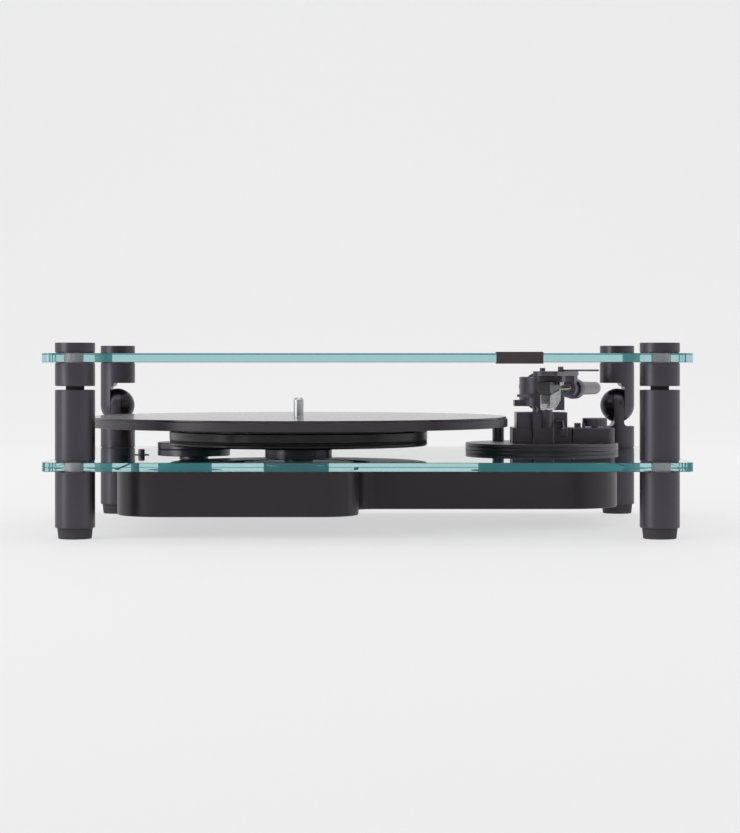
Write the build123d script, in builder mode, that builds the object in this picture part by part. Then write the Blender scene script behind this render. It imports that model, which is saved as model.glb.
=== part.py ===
from build123d import *
import math
import os

# Turntable record player: two glass plates on four aluminium posts.
# X runs to the right, Y to the rear, Z up. The origin is on the floor, midway between the posts.

# ---------------------------------------------------------------- driving sizes, millimetres
post_pitch_x = 386.0            # between post centres, side to side
post_pitch_y = 266.0            # between post centres, front to rear
post_dia = 26.5
glass_length = 427.0
glass_depth = 308.0
glass_thickness = 6.0
glass_corner = 10.0
glass_edge = 0.8                # polished chamfer of the glass
edge_break = 0.4                # small chamfer on turned parts

foot_height = 7.2
foot_dia_top = 23.5
foot_dia_floor = 22.0
lower_tube_length = 37.15
front_tube_length = 46.85
rest_gap = 2.5                  # between a front tube and the lid collar above it
collar_length = 15.1
cap_height = 7.0
gasket_thickness = 0.5
gasket_inset = 0.6
rod_dia = 8.0
bush_dia = 12.9
stud_dia = 6.0
bumper_dia = 14.7
bumper_depth = 6.0

hinge_drop = 33.0               # from the lid's underside down to the hinge axis
hinge_shoulder = 16.0           # from the hinge axis down to the shoulder of the rear post
hinge_ball_dia = 26.0
hinge_arm_width = 8.6
hinge_leaf_width = 7.6
hinge_washer = 0.4
hinge_pin_dia = 6.0
hinge_slot = 4.3                # open slot between the hinge ball and the head above it
hinge_fillet = 3.0

handle_length = 30.6
handle_centre_x = 99.3
handle_lip = 0.9
handle_reach = 10.0

spindle_x = -49.5
spindle_y = 5.0
platter_dia = 300.0
platter_thickness = 5.8
platter_floor = 70.5            # height of the platter's underside
mat_thickness = 1.5
mat_dia = 298.0
record_pin_dia = 7.2
record_pin_height = 13.3        # above the mat
spindle_shaft_dia = 10.0
bearing_length = 32.0
bearing_flange_dia = 48.0
bearing_flange = 3.35
bearing_barrel_dia = 21.0
bearing_bush_dia = 14.0
thrust_ball_dia = 5.0

sub_dia = 185.0
sub_floor_gap = 6.05            # from the glass up to the sub-platter
sub_rim_height = 10.3
sub_boss_dia = 170.0
sub_groove_height = 3.3         # middle of the belt groove above the sub-platter's underside
sub_groove_depth = 1.4
sub_recess_outer = 104.0
sub_recess_inner = 79.0
sub_recess_depth = 3.0

motor_x = -132.0
motor_y = 104.0
motor_dia = 48.0
motor_length = 24.0
motor_neck_dia = 20.0
motor_shaft_dia = 3.0
puck_dia = 55.0
puck_height = 5.1
pulley_dia = 22.0
pulley_height = 9.0
belt_thickness = 1.0
belt_width = 1.8

button_x = -160.0
button_y = -20.0
button_dia = 4.6
button_height = 4.1
button_stem = 26.0
button_washer_dia = 10.6
button_washer = 0.5

housing_left = -169.0
housing_right = 178.5
housing_front_left = -126.0
housing_front_right = -39.0
housing_step_x = -6.0
housing_rear = 138.0
housing_floor = 13.5
housing_wall = 3.0
housing_radius_front_left = 32.0
housing_radius_step = 26.0
housing_radius_inner = 12.0
housing_radius_front_right = 38.0
housing_radius_rear_right = 45.0
housing_radius_rear_left = 24.0
cover_thickness = 3.0
cover_boss_dia = 9.0
cover_screw_dia = 3.0
cover_screw_head = 5.6
board_length = 100.0
board_depth = 62.0
board_thickness = 1.6
board_standoff = 5.0
jack_pitch = 20.0
jack_dia = 8.3
jack_reach = 9.0
jack_bore = 3.2
jack_x = 60.0
inlet_x = 108.0
inlet_bore = 5.5
inlet_body = 12.0
inlet_depth = 9.0

arm_x = 131.5                   # vertical axis of the tonearm, and the centre of its board
arm_y = 89.0
armboard_dia = 115.0
armboard_thickness = 5.2
base_width = 45.0
base_depth = 36.0
base_height = 11.5
tower_width = 38.0
tower_depth = 30.0
tower_height = 11.4
lift_body_width = 16.6
lift_body_depth = 6.0
lift_cylinder_dia = 7.6
lift_radius = 27.0              # of the lift bar about the arm's vertical axis
lift_bar_width = 3.5
lift_bar_thickness = 2.0
lift_clearance = 1.3            # between the lift bar and the arm tube above it
lift_travel = 3.0
side_box_width = 31.5
side_box_depth = 34.0
side_box_height = 11.4
knob_dia = 18.6
knob_height = 6.4
pillar_dia = 14.0
yoke_dia = 33.8
yoke_height = 22.0
yoke_flange = 4.6
yoke_flange_reach = 21.0
yoke_cavity = 22.0
yoke_gap = 4.6                  # between the tower and the yoke
arm_axis_height = 98.3
arm_tube_dia = 8.8
arm_block = 14.0
arm_block_height = 15.0
pivot_screw_dia = 3.0
stylus_x = 118.9
stylus_y = -129.0
head_angle = 23.0               # headshell axis from straight ahead, turned towards the platter
bend_distance = 110.0           # from the stylus back along the headshell axis to the bend
bend_radius = 30.0
collar_front = 53.0             # from the stylus back to the headshell collar's front face
collar_dia = 13.8
head_collar_length = 7.5
weight_dia = 30.0
weight_length = 24.0
weight_start = 24.0
weight_drop = 3.9
weight_travel = 5.0
stub_dia = 8.0
headshell_top = 110.4
headshell_thickness = 3.2
headshell_width = 17.0
headshell_nose = 9.0            # ahead of the stylus
tail_block = 8.0                # length of the connector block in front of the collar
cartridge_screw_pitch = 12.7
cartridge_screw_back = 9.5
cartridge_screw_dia = 2.5
cartridge_screw_head = 3.7
cartridge_screw_head_height = 2.2
cartridge_flange = 3.8
cartridge_width = 16.5
cartridge_length = 24.0
cartridge_drop = 8.4
guard_length = 20.0
guard_width = 7.6
guard_wall = 0.7
guard_rise = 6.2                # the guard's lower edge climbs towards the rear
guard_tip_gap = 0.4
stylus_tip = 86.0               # height of the tip at rest
terminal_dia = 9.0
terminal_height = 13.5
terminal_x = 100.6
terminal_y = 124.0

fit = 0.2                       # radial clearance of parts that only pass through
running = 0.04                  # radial clearance of a shaft that turns
free = 0.4                      # gap between parts that move past each other

# ---------------------------------------------------------------- derived places
post_x = post_pitch_x / 2
post_y = post_pitch_y / 2
post_r = post_dia / 2
tube_top = foot_height + lower_tube_length
deck_bottom = tube_top + gasket_thickness
deck_top = deck_bottom + glass_thickness
deck_seat = deck_top + gasket_thickness
front_tube_top = deck_seat + front_tube_length
collar_bottom = front_tube_top + rest_gap
lid_seat = collar_bottom + collar_length
lid_bottom = lid_seat + gasket_thickness
lid_top = lid_bottom + glass_thickness
cap_seat = lid_top + gasket_thickness
cap_top = lid_top + cap_height
hinge_z = lid_bottom - hinge_drop
shoulder_z = hinge_z - hinge_shoulder
ball_r = hinge_ball_dia / 2
sub_bottom = deck_top + sub_floor_gap
sub_rim_top = sub_bottom + sub_rim_height
groove_z = sub_bottom + sub_groove_height
mat_bottom = platter_floor + platter_thickness
mat_top = mat_bottom + mat_thickness
pin_top = mat_top + record_pin_height
posts = [(sx * post_x, sy * post_y) for sx in (-1, 1) for sy in (-1, 1)]
front_posts = [(sx * post_x, -post_y) for sx in (-1, 1)]
rear_posts = [(sx * post_x, post_y) for sx in (-1, 1)]

os.makedirs("parts", exist_ok=True)


def write(part, name):
    """Label a finished piece and write it as its own STEP file."""
    part.label = name
    export_step(part, f"parts/{name}.step")


# ---------------------------------------------------------------- posts
with BuildPart() as rubber_feet:
    with Locations(*posts):
        Cone(foot_dia_floor / 2, foot_dia_top / 2, foot_height, align=(Align.CENTER, Align.CENTER, Align.MIN))
    chamfer(rubber_feet.edges().group_by(Axis.Z)[0], edge_break)
    with Locations(*[(x, y, foot_height) for x, y in posts]):
        Hole(rod_dia / 2 + fit, depth=foot_height / 2)
write(rubber_feet.part, "rubber_feet")

with BuildPart() as lower_tubes:
    with BuildSketch(Plane.XY.offset(foot_height)):
        with Locations(*posts):
            Circle(post_r)
            Circle(rod_dia / 2 + fit, mode=Mode.SUBTRACT)
    extrude(amount=lower_tube_length)
    outer_rims = lower_tubes.edges().filter_by(GeomType.CIRCLE).filter_by(lambda e: e.radius > post_r - 1)
    chamfer(outer_rims, edge_break)
write(lower_tubes.part, "lower_tubes")

rod_bottom = foot_height / 2
with BuildPart() as tie_rods:
    with BuildSketch(Plane.XY.offset(rod_bottom)):
        with Locations(*posts):
            Circle(rod_dia / 2)
    extrude(amount=shoulder_z - 4.0 - rod_bottom)
write(tie_rods.part, "tie_rods")

with BuildPart() as deck_gaskets:
    for level in (tube_top, deck_top):
        with BuildSketch(Plane.XY.offset(level)):
            with Locations(*posts):
                Circle(post_r - gasket_inset)
                Circle(bush_dia / 2, mode=Mode.SUBTRACT)
        extrude(amount=gasket_thickness)
write(deck_gaskets.part, "deck_gaskets")

with BuildPart() as deck_bushes:
    with BuildSketch(Plane.XY.offset(tube_top)):
        with Locations(*posts):
            Circle(bush_dia / 2)
            Circle(rod_dia / 2 + fit, mode=Mode.SUBTRACT)
    extrude(amount=deck_seat - tube_top)
write(deck_bushes.part, "deck_bushes")

with BuildPart() as front_upper_tubes:
    with BuildSketch(Plane.XY.offset(deck_seat)):
        with Locations(*front_posts):
            Circle(post_r)
    extrude(amount=front_tube_length)
    chamfer(front_upper_tubes.edges().filter_by(GeomType.CIRCLE), edge_break)
    with Locations(*[(x, y, front_tube_top) for x, y in front_posts]):
        Hole(bumper_dia / 2 + fit, depth=bumper_depth)
    with BuildSketch(Plane.XY.offset(deck_seat)):
        with Locations(*front_posts):
            Circle(rod_dia / 2 + fit)
    extrude(amount=shoulder_z - deck_seat, mode=Mode.SUBTRACT)
write(front_upper_tubes.part, "front_upper_tubes")

with BuildPart() as lid_bumpers:
    with BuildSketch(Plane.XY.offset(front_tube_top - bumper_depth)):
        with Locations(*front_posts):
            Circle(bumper_dia / 2)
    extrude(amount=bumper_depth + rest_gap)
    chamfer(lid_bumpers.edges().group_by(Axis.Z)[-1], 2 * edge_break)
write(lid_bumpers.part, "lid_bumpers")


# ---------------------------------------------------------------- glass
def rounded_plate_sketch():
    """Outline shared by the deck and the lid."""
    RectangleRounded(glass_length, glass_depth, glass_corner)


bearing_hole_r = bearing_barrel_dia / 2 + fit
with BuildPart() as glass_deck:
    with BuildSketch(Plane.XY.offset(deck_bottom)):
        rounded_plate_sketch()
    extrude(amount=glass_thickness)
    rims = glass_deck.edges().group_by(Axis.Z)
    chamfer(rims[0] + rims[-1], glass_edge)
    with BuildSketch(Plane.XY.offset(deck_bottom)):
        with Locations(*posts):
            Circle(bush_dia / 2 + fit)
        with Locations((spindle_x, spindle_y)):
            Circle(bearing_hole_r)
        with Locations((motor_x, motor_y)):
            Circle(motor_neck_dia / 2 + fit)
        with Locations((button_x, button_y)):
            Circle(button_dia / 2 + fit)
    extrude(amount=glass_thickness, mode=Mode.SUBTRACT)
write(glass_deck.part, "glass_deck")

with BuildPart() as glass_lid:
    with BuildSketch(Plane.XY.offset(lid_bottom)):
        rounded_plate_sketch()
    extrude(amount=glass_thickness)
    rims = glass_lid.edges().group_by(Axis.Z)
    chamfer(rims[0] + rims[-1], glass_edge)
    with BuildSketch(Plane.XY.offset(lid_bottom)):
        with Locations(*posts):
            Circle(bush_dia / 2 + fit)
    extrude(amount=glass_thickness, mode=Mode.SUBTRACT)
write(glass_lid.part, "glass_lid")

# ---------------------------------------------------------------- lid fittings
with BuildPart() as lid_gaskets:
    for level in (lid_seat, lid_top):
        with BuildSketch(Plane.XY.offset(level)):
            with Locations(*posts):
                Circle(post_r - gasket_inset)
                Circle(bush_dia / 2, mode=Mode.SUBTRACT)
        extrude(amount=gasket_thickness)
write(lid_gaskets.part, "lid_gaskets")

with BuildPart() as lid_bushes:
    with BuildSketch(Plane.XY.offset(lid_seat)):
        with Locations(*posts):
            Circle(bush_dia / 2)
            Circle(stud_dia / 2 + fit, mode=Mode.SUBTRACT)
    extrude(amount=cap_seat - lid_seat)
write(lid_bushes.part, "lid_bushes")

stud_depth = 9.0                # how far a lid stud enters the collar below the glass
cap_roof = 2.0
with BuildPart() as lid_studs:
    with BuildSketch(Plane.XY.offset(lid_seat - stud_depth)):
        with Locations(*posts):
            Circle(stud_dia / 2)
    extrude(amount=cap_top - cap_roof - lid_seat + stud_depth)
write(lid_studs.part, "lid_studs")

with BuildPart() as lid_caps:
    with BuildSketch(Plane.XY.offset(cap_seat)):
        with Locations(*posts):
            Circle(post_r)
    extrude(amount=cap_top - cap_seat)
    chamfer(lid_caps.edges(), edge_break)
    with BuildSketch(Plane.XY.offset(cap_seat)):
        with Locations(*posts):
            Circle(stud_dia / 2 + fit)
    extrude(amount=cap_top - cap_roof - cap_seat, mode=Mode.SUBTRACT)
write(lid_caps.part, "lid_caps")

with BuildPart() as lid_collars:
    with BuildSketch(Plane.XY.offset(collar_bottom)):
        with Locations(*front_posts):
            Circle(post_r)
    extrude(amount=collar_length)
    chamfer(lid_collars.edges(), edge_break)
    with Locations(*[(x, y, lid_seat) for x, y in front_posts]):
        Hole(stud_dia / 2 + fit, depth=stud_depth)
write(lid_collars.part, "lid_collars")

lid_front = -glass_depth / 2
handle_floor = lid_bottom - handle_lip
handle_top = lid_top + handle_lip
with BuildPart() as lid_handle:
    with BuildSketch(Plane.YZ.offset(handle_centre_x - handle_length / 2)):
        with Locations((lid_front - handle_lip, handle_floor)):
            Rectangle(handle_reach + handle_lip, handle_top - handle_floor, align=(Align.MIN, Align.MIN))
    extrude(amount=handle_length)
    front_edges = lid_handle.edges().filter_by(Axis.X).group_by(Axis.Y)[0]
    fillet(front_edges, handle_lip / 2)
    with BuildSketch(Plane.YZ.offset(handle_centre_x - handle_length / 2)):
        with Locations((lid_front, lid_bottom)):
            Rectangle(handle_reach + handle_lip, glass_thickness, align=(Align.MIN, Align.MIN))
    extrude(amount=handle_length, mode=Mode.SUBTRACT)
write(lid_handle.part, "lid_handle")

# ---------------------------------------------------------------- lid hinges
# Across a rear post, from its outer side inwards: lid arm, washer, fixed leaf, domed cap.
arm_inner = post_r - hinge_arm_width
leaf_outer = arm_inner - hinge_washer
leaf_inner = leaf_outer - hinge_leaf_width
dome_base = leaf_inner - hinge_washer / 2
head_bottom = hinge_z + ball_r + hinge_slot
pin_outer = post_r - 2.0
pin_inner = dome_base - 5.0


def hinge_post(side):
    """Rear post: a turned drum with a narrow leaf filleted out of its shoulder."""
    with BuildPart() as post:
        with BuildSketch(Plane.XZ.offset(-post_y)):
            with BuildLine():
                Polyline(
                    (post_r, shoulder_z), (post_r, deck_seat), (-post_r, deck_seat), (-post_r, shoulder_z),
                    (leaf_inner - hinge_fillet, shoulder_z),
                )
                RadiusArc(
                    (leaf_inner - hinge_fillet, shoulder_z), (leaf_inner, shoulder_z + hinge_fillet), -hinge_fillet
                )
                Polyline(
                    (leaf_inner, shoulder_z + hinge_fillet), (leaf_inner, hinge_z + post_r),
                    (leaf_outer, hinge_z + post_r), (leaf_outer, shoulder_z + hinge_fillet),
                )
                RadiusArc(
                    (leaf_outer, shoulder_z + hinge_fillet), (leaf_outer + hinge_fillet, shoulder_z), -hinge_fillet
                )
                Line((leaf_outer + hinge_fillet, shoulder_z), (post_r, shoulder_z))
            make_face()
        extrude(amount=post_r, both=True)
        with BuildPart(mode=Mode.INTERSECT):
            with Locations((0, post_y, deck_seat)):
                Cylinder(post_r, hinge_z - deck_seat, align=(Align.CENTER, Align.CENTER, Align.MIN))
            with Locations((0, post_y, hinge_z)):
                Sphere(ball_r)
        with BuildSketch(Plane.YZ.offset(leaf_inner)):
            with Locations((post_y, hinge_z)):
                Circle(hinge_pin_dia / 2 + running)
        extrude(amount=leaf_outer - leaf_inner, mode=Mode.SUBTRACT)
        with BuildSketch(Plane.XY.offset(deck_seat)):
            with Locations((0, post_y)):
                Circle(rod_dia / 2 + fit)
        extrude(amount=shoulder_z - deck_seat - 2.0, mode=Mode.SUBTRACT)
    turned = post.part if side > 0 else post.part.mirror(Plane.YZ)
    return turned.translate((side * post_x, 0, 0))


def hinge_arm(side):
    """Lid arm: a full round head under the glass with one cheek running down to the hinge axis."""
    with BuildPart() as arm:
        with BuildSketch(Plane.XZ.offset(-post_y)):
            with BuildLine():
                Polyline(
                    (arm_inner - hinge_fillet, head_bottom), (-post_r, head_bottom), (-post_r, lid_seat),
                    (post_r, lid_seat), (post_r, hinge_z - post_r), (arm_inner, hinge_z - post_r),
                    (arm_inner, head_bottom - hinge_fillet),
                )
                RadiusArc(
                    (arm_inner, head_bottom - hinge_fillet), (arm_inner - hinge_fillet, head_bottom), hinge_fillet
                )
            make_face()
        extrude(amount=post_r, both=True)
        with BuildPart(mode=Mode.INTERSECT):
            with Locations((0, post_y, hinge_z)):
                Cylinder(post_r, lid_seat - hinge_z, align=(Align.CENTER, Align.CENTER, Align.MIN))
                Sphere(post_r)
        with BuildSketch(Plane.YZ.offset(arm_inner)):
            with Locations((post_y, hinge_z)):
                Circle(hinge_pin_dia / 2 + running)
        extrude(amount=pin_outer + running - arm_inner, mode=Mode.SUBTRACT)
        with BuildSketch(Plane.XY.offset(lid_seat)):
            with Locations((0, post_y)):
                Circle(stud_dia / 2 + fit)
        extrude(amount=-stud_depth, mode=Mode.SUBTRACT)
    turned = arm.part if side > 0 else arm.part.mirror(Plane.YZ)
    return turned.translate((side * post_x, 0, 0))


def hinge_dome(side):
    """Domed cap on the inner end of the hinge pin."""
    with BuildPart() as dome:
        with Locations((0, post_y, hinge_z)):
            Sphere(ball_r)
        split(bisect_by=Plane.YZ.offset(dome_base), keep=Keep.BOTTOM)
        with BuildSketch(Plane.YZ.offset(dome_base)):
            with Locations((post_y, hinge_z)):
                Circle(hinge_pin_dia / 2 + running)
        extrude(amount=pin_inner - running - dome_base, mode=Mode.SUBTRACT)
    turned = dome.part if side > 0 else dome.part.mirror(Plane.YZ)
    return turned.translate((side * post_x, 0, 0))


for piece_name, maker in (("hinge_posts", hinge_post), ("hinge_arms", hinge_arm), ("hinge_domes", hinge_dome)):
    write(Compound(children=[maker(-1), maker(1)]), piece_name)


def across_hinge(start, end, side):
    """Plane on the hinge axis at one post, with the length that runs from start to end across it."""
    low = min(side * start, side * end)
    return Plane.YZ.offset(side * post_x + low), abs(end - start)


with BuildPart() as hinge_pins:
    for side in (-1, 1):
        pin_plane, pin_length = across_hinge(pin_inner, pin_outer, side)
        with BuildSketch(pin_plane):
            with Locations((post_y, hinge_z)):
                Circle(hinge_pin_dia / 2)
        extrude(amount=pin_length)
write(hinge_pins.part, "hinge_pins")

washer_play = 0.05
with BuildPart() as hinge_washers:
    for side in (-1, 1):
        washer_plane, washer_length = across_hinge(leaf_outer, arm_inner - washer_play, side)
        with BuildSketch(washer_plane):
            with Locations((post_y, hinge_z)):
                Circle(ball_r - 3.0)
                Circle(hinge_pin_dia / 2 + fit, mode=Mode.SUBTRACT)
        extrude(amount=washer_length)
write(hinge_washers.part, "hinge_washers")

# ---------------------------------------------------------------- housing under the deck
cover_inset = 4.0
cover_points = [
    (housing_left + housing_wall + cover_inset, 30.0),
    (housing_left + 45.0, housing_front_left + housing_wall + cover_inset),
    (housing_step_x - 40.0, housing_front_left + housing_wall + cover_inset),
    (housing_right - 60.0, housing_front_right + housing_wall + cover_inset),
    (housing_right - housing_wall - cover_inset, 40.0),
    (20.0, housing_rear - housing_wall - cover_inset),
]


def housing_outline(inset):
    """Two-lobed outline of the housing, moved in by the inset."""
    with BuildSketch(mode=Mode.PRIVATE) as outline:
        with BuildLine():
            FilletPolyline(
                (housing_left, housing_front_left), (housing_step_x, housing_front_left),
                (housing_step_x, housing_front_right), (housing_right, housing_front_right),
                (housing_right, housing_rear), (housing_left, housing_rear),
                radius=[
                    housing_radius_front_left, housing_radius_step, housing_radius_inner,
                    housing_radius_front_right, housing_radius_rear_right, housing_radius_rear_left,
                ],
                close=True,
            )
        make_face()
        if inset:
            offset(amount=-inset, mode=Mode.REPLACE)
    return outline.sketch


jack_z = (housing_floor + deck_bottom) / 2
jack_places = [jack_x - jack_pitch / 2, jack_x + jack_pitch / 2]
jack_neck = 0.3
jack_neck_r = jack_dia / 2 + 0.8
with BuildPart() as base_housing:
    with BuildSketch(Plane.XY.offset(housing_floor)):
        add(housing_outline(0))
    extrude(amount=deck_bottom - housing_floor)
    fillet(base_housing.edges().group_by(Axis.Z)[0], 1.0)
    with BuildSketch(Plane.XY.offset(housing_floor)):
        add(housing_outline(housing_wall))
    extrude(amount=deck_bottom - housing_floor, mode=Mode.SUBTRACT)
    with BuildSketch(Plane.XY.offset(housing_floor + cover_thickness)):
        with Locations(*cover_points):
            Circle(cover_boss_dia / 2)
            Circle(cover_screw_dia / 2 - fit, mode=Mode.SUBTRACT)
    extrude(amount=deck_bottom - housing_floor - cover_thickness)
    with BuildSketch(Plane.XZ.offset(-housing_rear)):
        with Locations(*[(x, jack_z) for x in jack_places]):
            Circle(jack_neck_r + fit)
        with Locations((inlet_x, jack_z)):
            Circle(inlet_body / 2 + fit)
    extrude(amount=housing_wall, mode=Mode.SUBTRACT)
write(base_housing.part, "base_housing")

board_x = housing_right - housing_radius_front_right - board_length / 2
board_y = (housing_front_right + housing_rear) / 2 - 8.0
board_inset = 5.0
standoffs = [
    (board_x + sx * (board_length / 2 - board_inset), board_y + sy * (board_depth / 2 - board_inset))
    for sx in (-1, 1) for sy in (-1, 1)
]
cover_top = housing_floor + cover_thickness
with BuildPart() as bottom_cover:
    with BuildSketch(Plane.XY.offset(housing_floor)):
        add(housing_outline(housing_wall + fit))
    extrude(amount=cover_thickness)
    with BuildSketch(Plane.XY.offset(cover_top)):
        with Locations(*standoffs):
            Circle(3.0)
    extrude(amount=board_standoff)
    with Locations(Plane.XY.offset(housing_floor) * Rotation(180, 0, 0)):
        with Locations(*[(x, -y, 0) for x, y in cover_points]):
            CounterSinkHole(cover_screw_dia / 2 + fit, cover_screw_head / 2 + fit, depth=cover_thickness)
write(bottom_cover.part, "bottom_cover")

with BuildPart() as cover_screws:
    with BuildSketch(Plane.XZ):
        with BuildLine():
            Polyline(
                (0, 0), (cover_screw_head / 2, 0), (cover_screw_dia / 2 - fit, cover_screw_head / 2 - 1.3),
                (cover_screw_dia / 2 - fit, 9.0), (0, 9.0), close=True,
            )
        make_face()
    revolve(axis=Axis.Z)
screw_copies = [cover_screws.part.translate((x, y, housing_floor)) for x, y in cover_points]
write(Compound(children=screw_copies), "cover_screws")

with BuildPart() as circuit_board:
    with BuildSketch(Plane.XY.offset(cover_top + board_standoff)):
        with Locations((board_x, board_y)):
            RectangleRounded(board_length, board_depth, 2.0)
    extrude(amount=board_thickness)
    with BuildSketch(Plane.XY.offset(cover_top + board_standoff + board_thickness)):
        with Locations((board_x - 25.0, board_y)):
            Rectangle(14.0, 14.0)
        with Locations((board_x + 20.0, board_y + 12.0)):
            Circle(5.0)
        with Locations((board_x + 20.0, board_y - 12.0)):
            Rectangle(20.0, 8.0)
    extrude(amount=6.0)
write(circuit_board.part, "circuit_board")

with BuildPart() as phono_jacks:
    with BuildSketch(Plane.XZ.offset(-(housing_rear - housing_wall))):
        with Locations(*[(x, jack_z) for x in jack_places]):
            Circle(jack_dia / 2 + 1.8)
    extrude(amount=2.0)
    with BuildSketch(Plane.XZ.offset(-(housing_rear - housing_wall))):
        with Locations(*[(x, jack_z) for x in jack_places]):
            Circle(jack_neck_r)
    extrude(amount=-(housing_wall + jack_neck))
    with BuildSketch(Plane.XZ.offset(-(housing_rear + jack_neck))):
        with Locations(*[(x, jack_z) for x in jack_places]):
            Circle(jack_dia / 2)
    extrude(amount=-jack_reach)
    with BuildSketch(Plane.XZ.offset(-(housing_rear + jack_neck + jack_reach))):
        with Locations(*[(x, jack_z) for x in jack_places]):
            Circle(jack_bore / 2)
    extrude(amount=jack_reach, mode=Mode.SUBTRACT)
write(phono_jacks.part, "phono_jacks")

with BuildPart() as power_socket:
    with BuildSketch(Plane.XZ.offset(-(housing_rear - housing_wall))):
        with Locations((inlet_x, jack_z)):
            Circle(inlet_body / 2 + 1.8)
    extrude(amount=9.0)
    with BuildSketch(Plane.XZ.offset(-(housing_rear - housing_wall))):
        with Locations((inlet_x, jack_z)):
            Circle(inlet_body / 2)
    extrude(amount=-(housing_wall + 1.0))
    with BuildSketch(Plane.XZ.offset(-(housing_rear + 1.0))):
        with Locations((inlet_x, jack_z)):
            Circle(inlet_bore / 2)
    extrude(amount=inlet_depth, mode=Mode.SUBTRACT)
write(power_socket.part, "power_socket")

# ---------------------------------------------------------------- motor and belt drive
motor_top = deck_bottom - fit
with BuildPart() as motor:
    with BuildSketch(Plane.XY.offset(motor_top - motor_length)):
        with Locations((motor_x, motor_y)):
            Circle(motor_dia / 2)
    extrude(amount=motor_length)
    chamfer(motor.edges(), 1.0)
    with BuildSketch(Plane.XY.offset(motor_top)):
        with Locations((motor_x, motor_y)):
            Circle(motor_neck_dia / 2)
    extrude(amount=glass_thickness + puck_height / 2)
    with BuildSketch(Plane.XY.offset(motor_top - motor_length / 2)):
        with Locations((motor_x, motor_y)):
            Circle(motor_shaft_dia / 2 + running)
    extrude(amount=motor_length, mode=Mode.SUBTRACT)
write(motor.part, "motor")

with BuildPart() as motor_puck:
    with BuildSketch(Plane.XY.offset(deck_top)):
        with Locations((motor_x, motor_y)):
            Circle(puck_dia / 2)
    extrude(amount=puck_height)
    chamfer(motor_puck.edges().group_by(Axis.Z)[-1], edge_break)
    with BuildSketch(Plane.XY.offset(deck_top)):
        with Locations((motor_x, motor_y)):
            Circle(motor_neck_dia / 2 + fit)
    extrude(amount=puck_height / 2 + fit, mode=Mode.SUBTRACT)
    with BuildSketch(Plane.XY.offset(deck_top)):
        with Locations((motor_x, motor_y)):
            Circle(motor_shaft_dia / 2 + 1.0)
    extrude(amount=puck_height, mode=Mode.SUBTRACT)
write(motor_puck.part, "motor_puck")

pulley_floor = deck_top + puck_height + free
pulley_r = pulley_dia / 2
sub_r = sub_dia / 2


def grooved_profile(radius, bore, floor, top):
    """Half section of a wheel with a belt groove, for turning about a vertical axis."""
    half = belt_width / 2 + fit
    Polyline(
        (bore, floor), (radius - edge_break, floor), (radius, floor + edge_break), (radius, groove_z - half - 0.4),
        (radius - sub_groove_depth, groove_z - half), (radius - sub_groove_depth, groove_z + half),
        (radius, groove_z + half + 0.4), (radius, top - edge_break), (radius - edge_break, top), (bore, top),
        close=True,
    )


shaft_bottom = motor_top - motor_length / 2 + free
with BuildPart() as motor_pulley:
    with BuildSketch(Plane.XZ):
        with BuildLine():
            grooved_profile(pulley_r, motor_shaft_dia / 2 - 0.5, pulley_floor, pulley_floor + pulley_height)
        make_face()
    revolve(axis=Axis.Z)
    with BuildSketch(Plane.XY.offset(shaft_bottom)):
        Circle(motor_shaft_dia / 2)
    extrude(amount=pulley_floor + pulley_height + 0.5 - shaft_bottom)
write(motor_pulley.part.translate((motor_x, motor_y, 0)), "motor_pulley")

with BuildPart() as drive_belt:
    with BuildSketch(Plane.XY.offset(groove_z - belt_width / 2)):
        for layer, layer_mode in ((belt_thickness + 0.1, Mode.ADD), (0.1, Mode.SUBTRACT)):
            with BuildSketch(mode=Mode.PRIVATE) as loop:
                with Locations((spindle_x, spindle_y)):
                    Circle(sub_r - sub_groove_depth + layer)
                with Locations((motor_x, motor_y)):
                    Circle(pulley_r - sub_groove_depth + layer)
                make_hull()
            add(loop.sketch, mode=layer_mode)
    extrude(amount=belt_width)
write(drive_belt.part, "drive_belt")

# ---------------------------------------------------------------- bearing, platter and mat
bearing_bottom = deck_top - bearing_length
ball_seat = bearing_bottom + 3.0
shaft_foot = ball_seat + thrust_ball_dia
barrel_top = sub_bottom - free
with BuildPart() as bearing_housing:
    with BuildSketch(Plane.XZ):
        with BuildLine():
            Polyline(
                (0, bearing_bottom), (bearing_barrel_dia / 2, bearing_bottom), (bearing_barrel_dia / 2, deck_top),
                (bearing_flange_dia / 2, deck_top), (bearing_flange_dia / 2, deck_top + bearing_flange - edge_break),
                (bearing_flange_dia / 2 - edge_break, deck_top + bearing_flange),
                (bearing_barrel_dia / 2, deck_top + bearing_flange), (bearing_barrel_dia / 2, barrel_top),
                (bearing_bush_dia / 2 + running, barrel_top), (bearing_bush_dia / 2 + running, ball_seat),
                (0, ball_seat), close=True,
            )
        make_face()
    revolve(axis=Axis.Z)
write(bearing_housing.part.translate((spindle_x, spindle_y, 0)), "bearing_housing")

with BuildPart() as bearing_bush:
    with BuildSketch(Plane.XY.offset(shaft_foot)):
        with Locations((spindle_x, spindle_y)):
            Circle(bearing_bush_dia / 2)
            Circle(spindle_shaft_dia / 2 + running, mode=Mode.SUBTRACT)
    extrude(amount=barrel_top - shaft_foot)
write(bearing_bush.part, "bearing_bush")

with BuildPart() as thrust_ball:
    with Locations((spindle_x, spindle_y, ball_seat + thrust_ball_dia / 2)):
        Sphere(thrust_ball_dia / 2 - running / 2)
write(thrust_ball.part, "thrust_ball")

nut_height = 5.0
with BuildPart() as bearing_nut:
    with BuildSketch(Plane.XY.offset(deck_bottom - nut_height)):
        with Locations((spindle_x, spindle_y)):
            RegularPolygon(bearing_barrel_dia / 2 + 6.0, 6)
            Circle(bearing_hole_r, mode=Mode.SUBTRACT)
    extrude(amount=nut_height)
write(bearing_nut.part, "bearing_nut")

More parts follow.
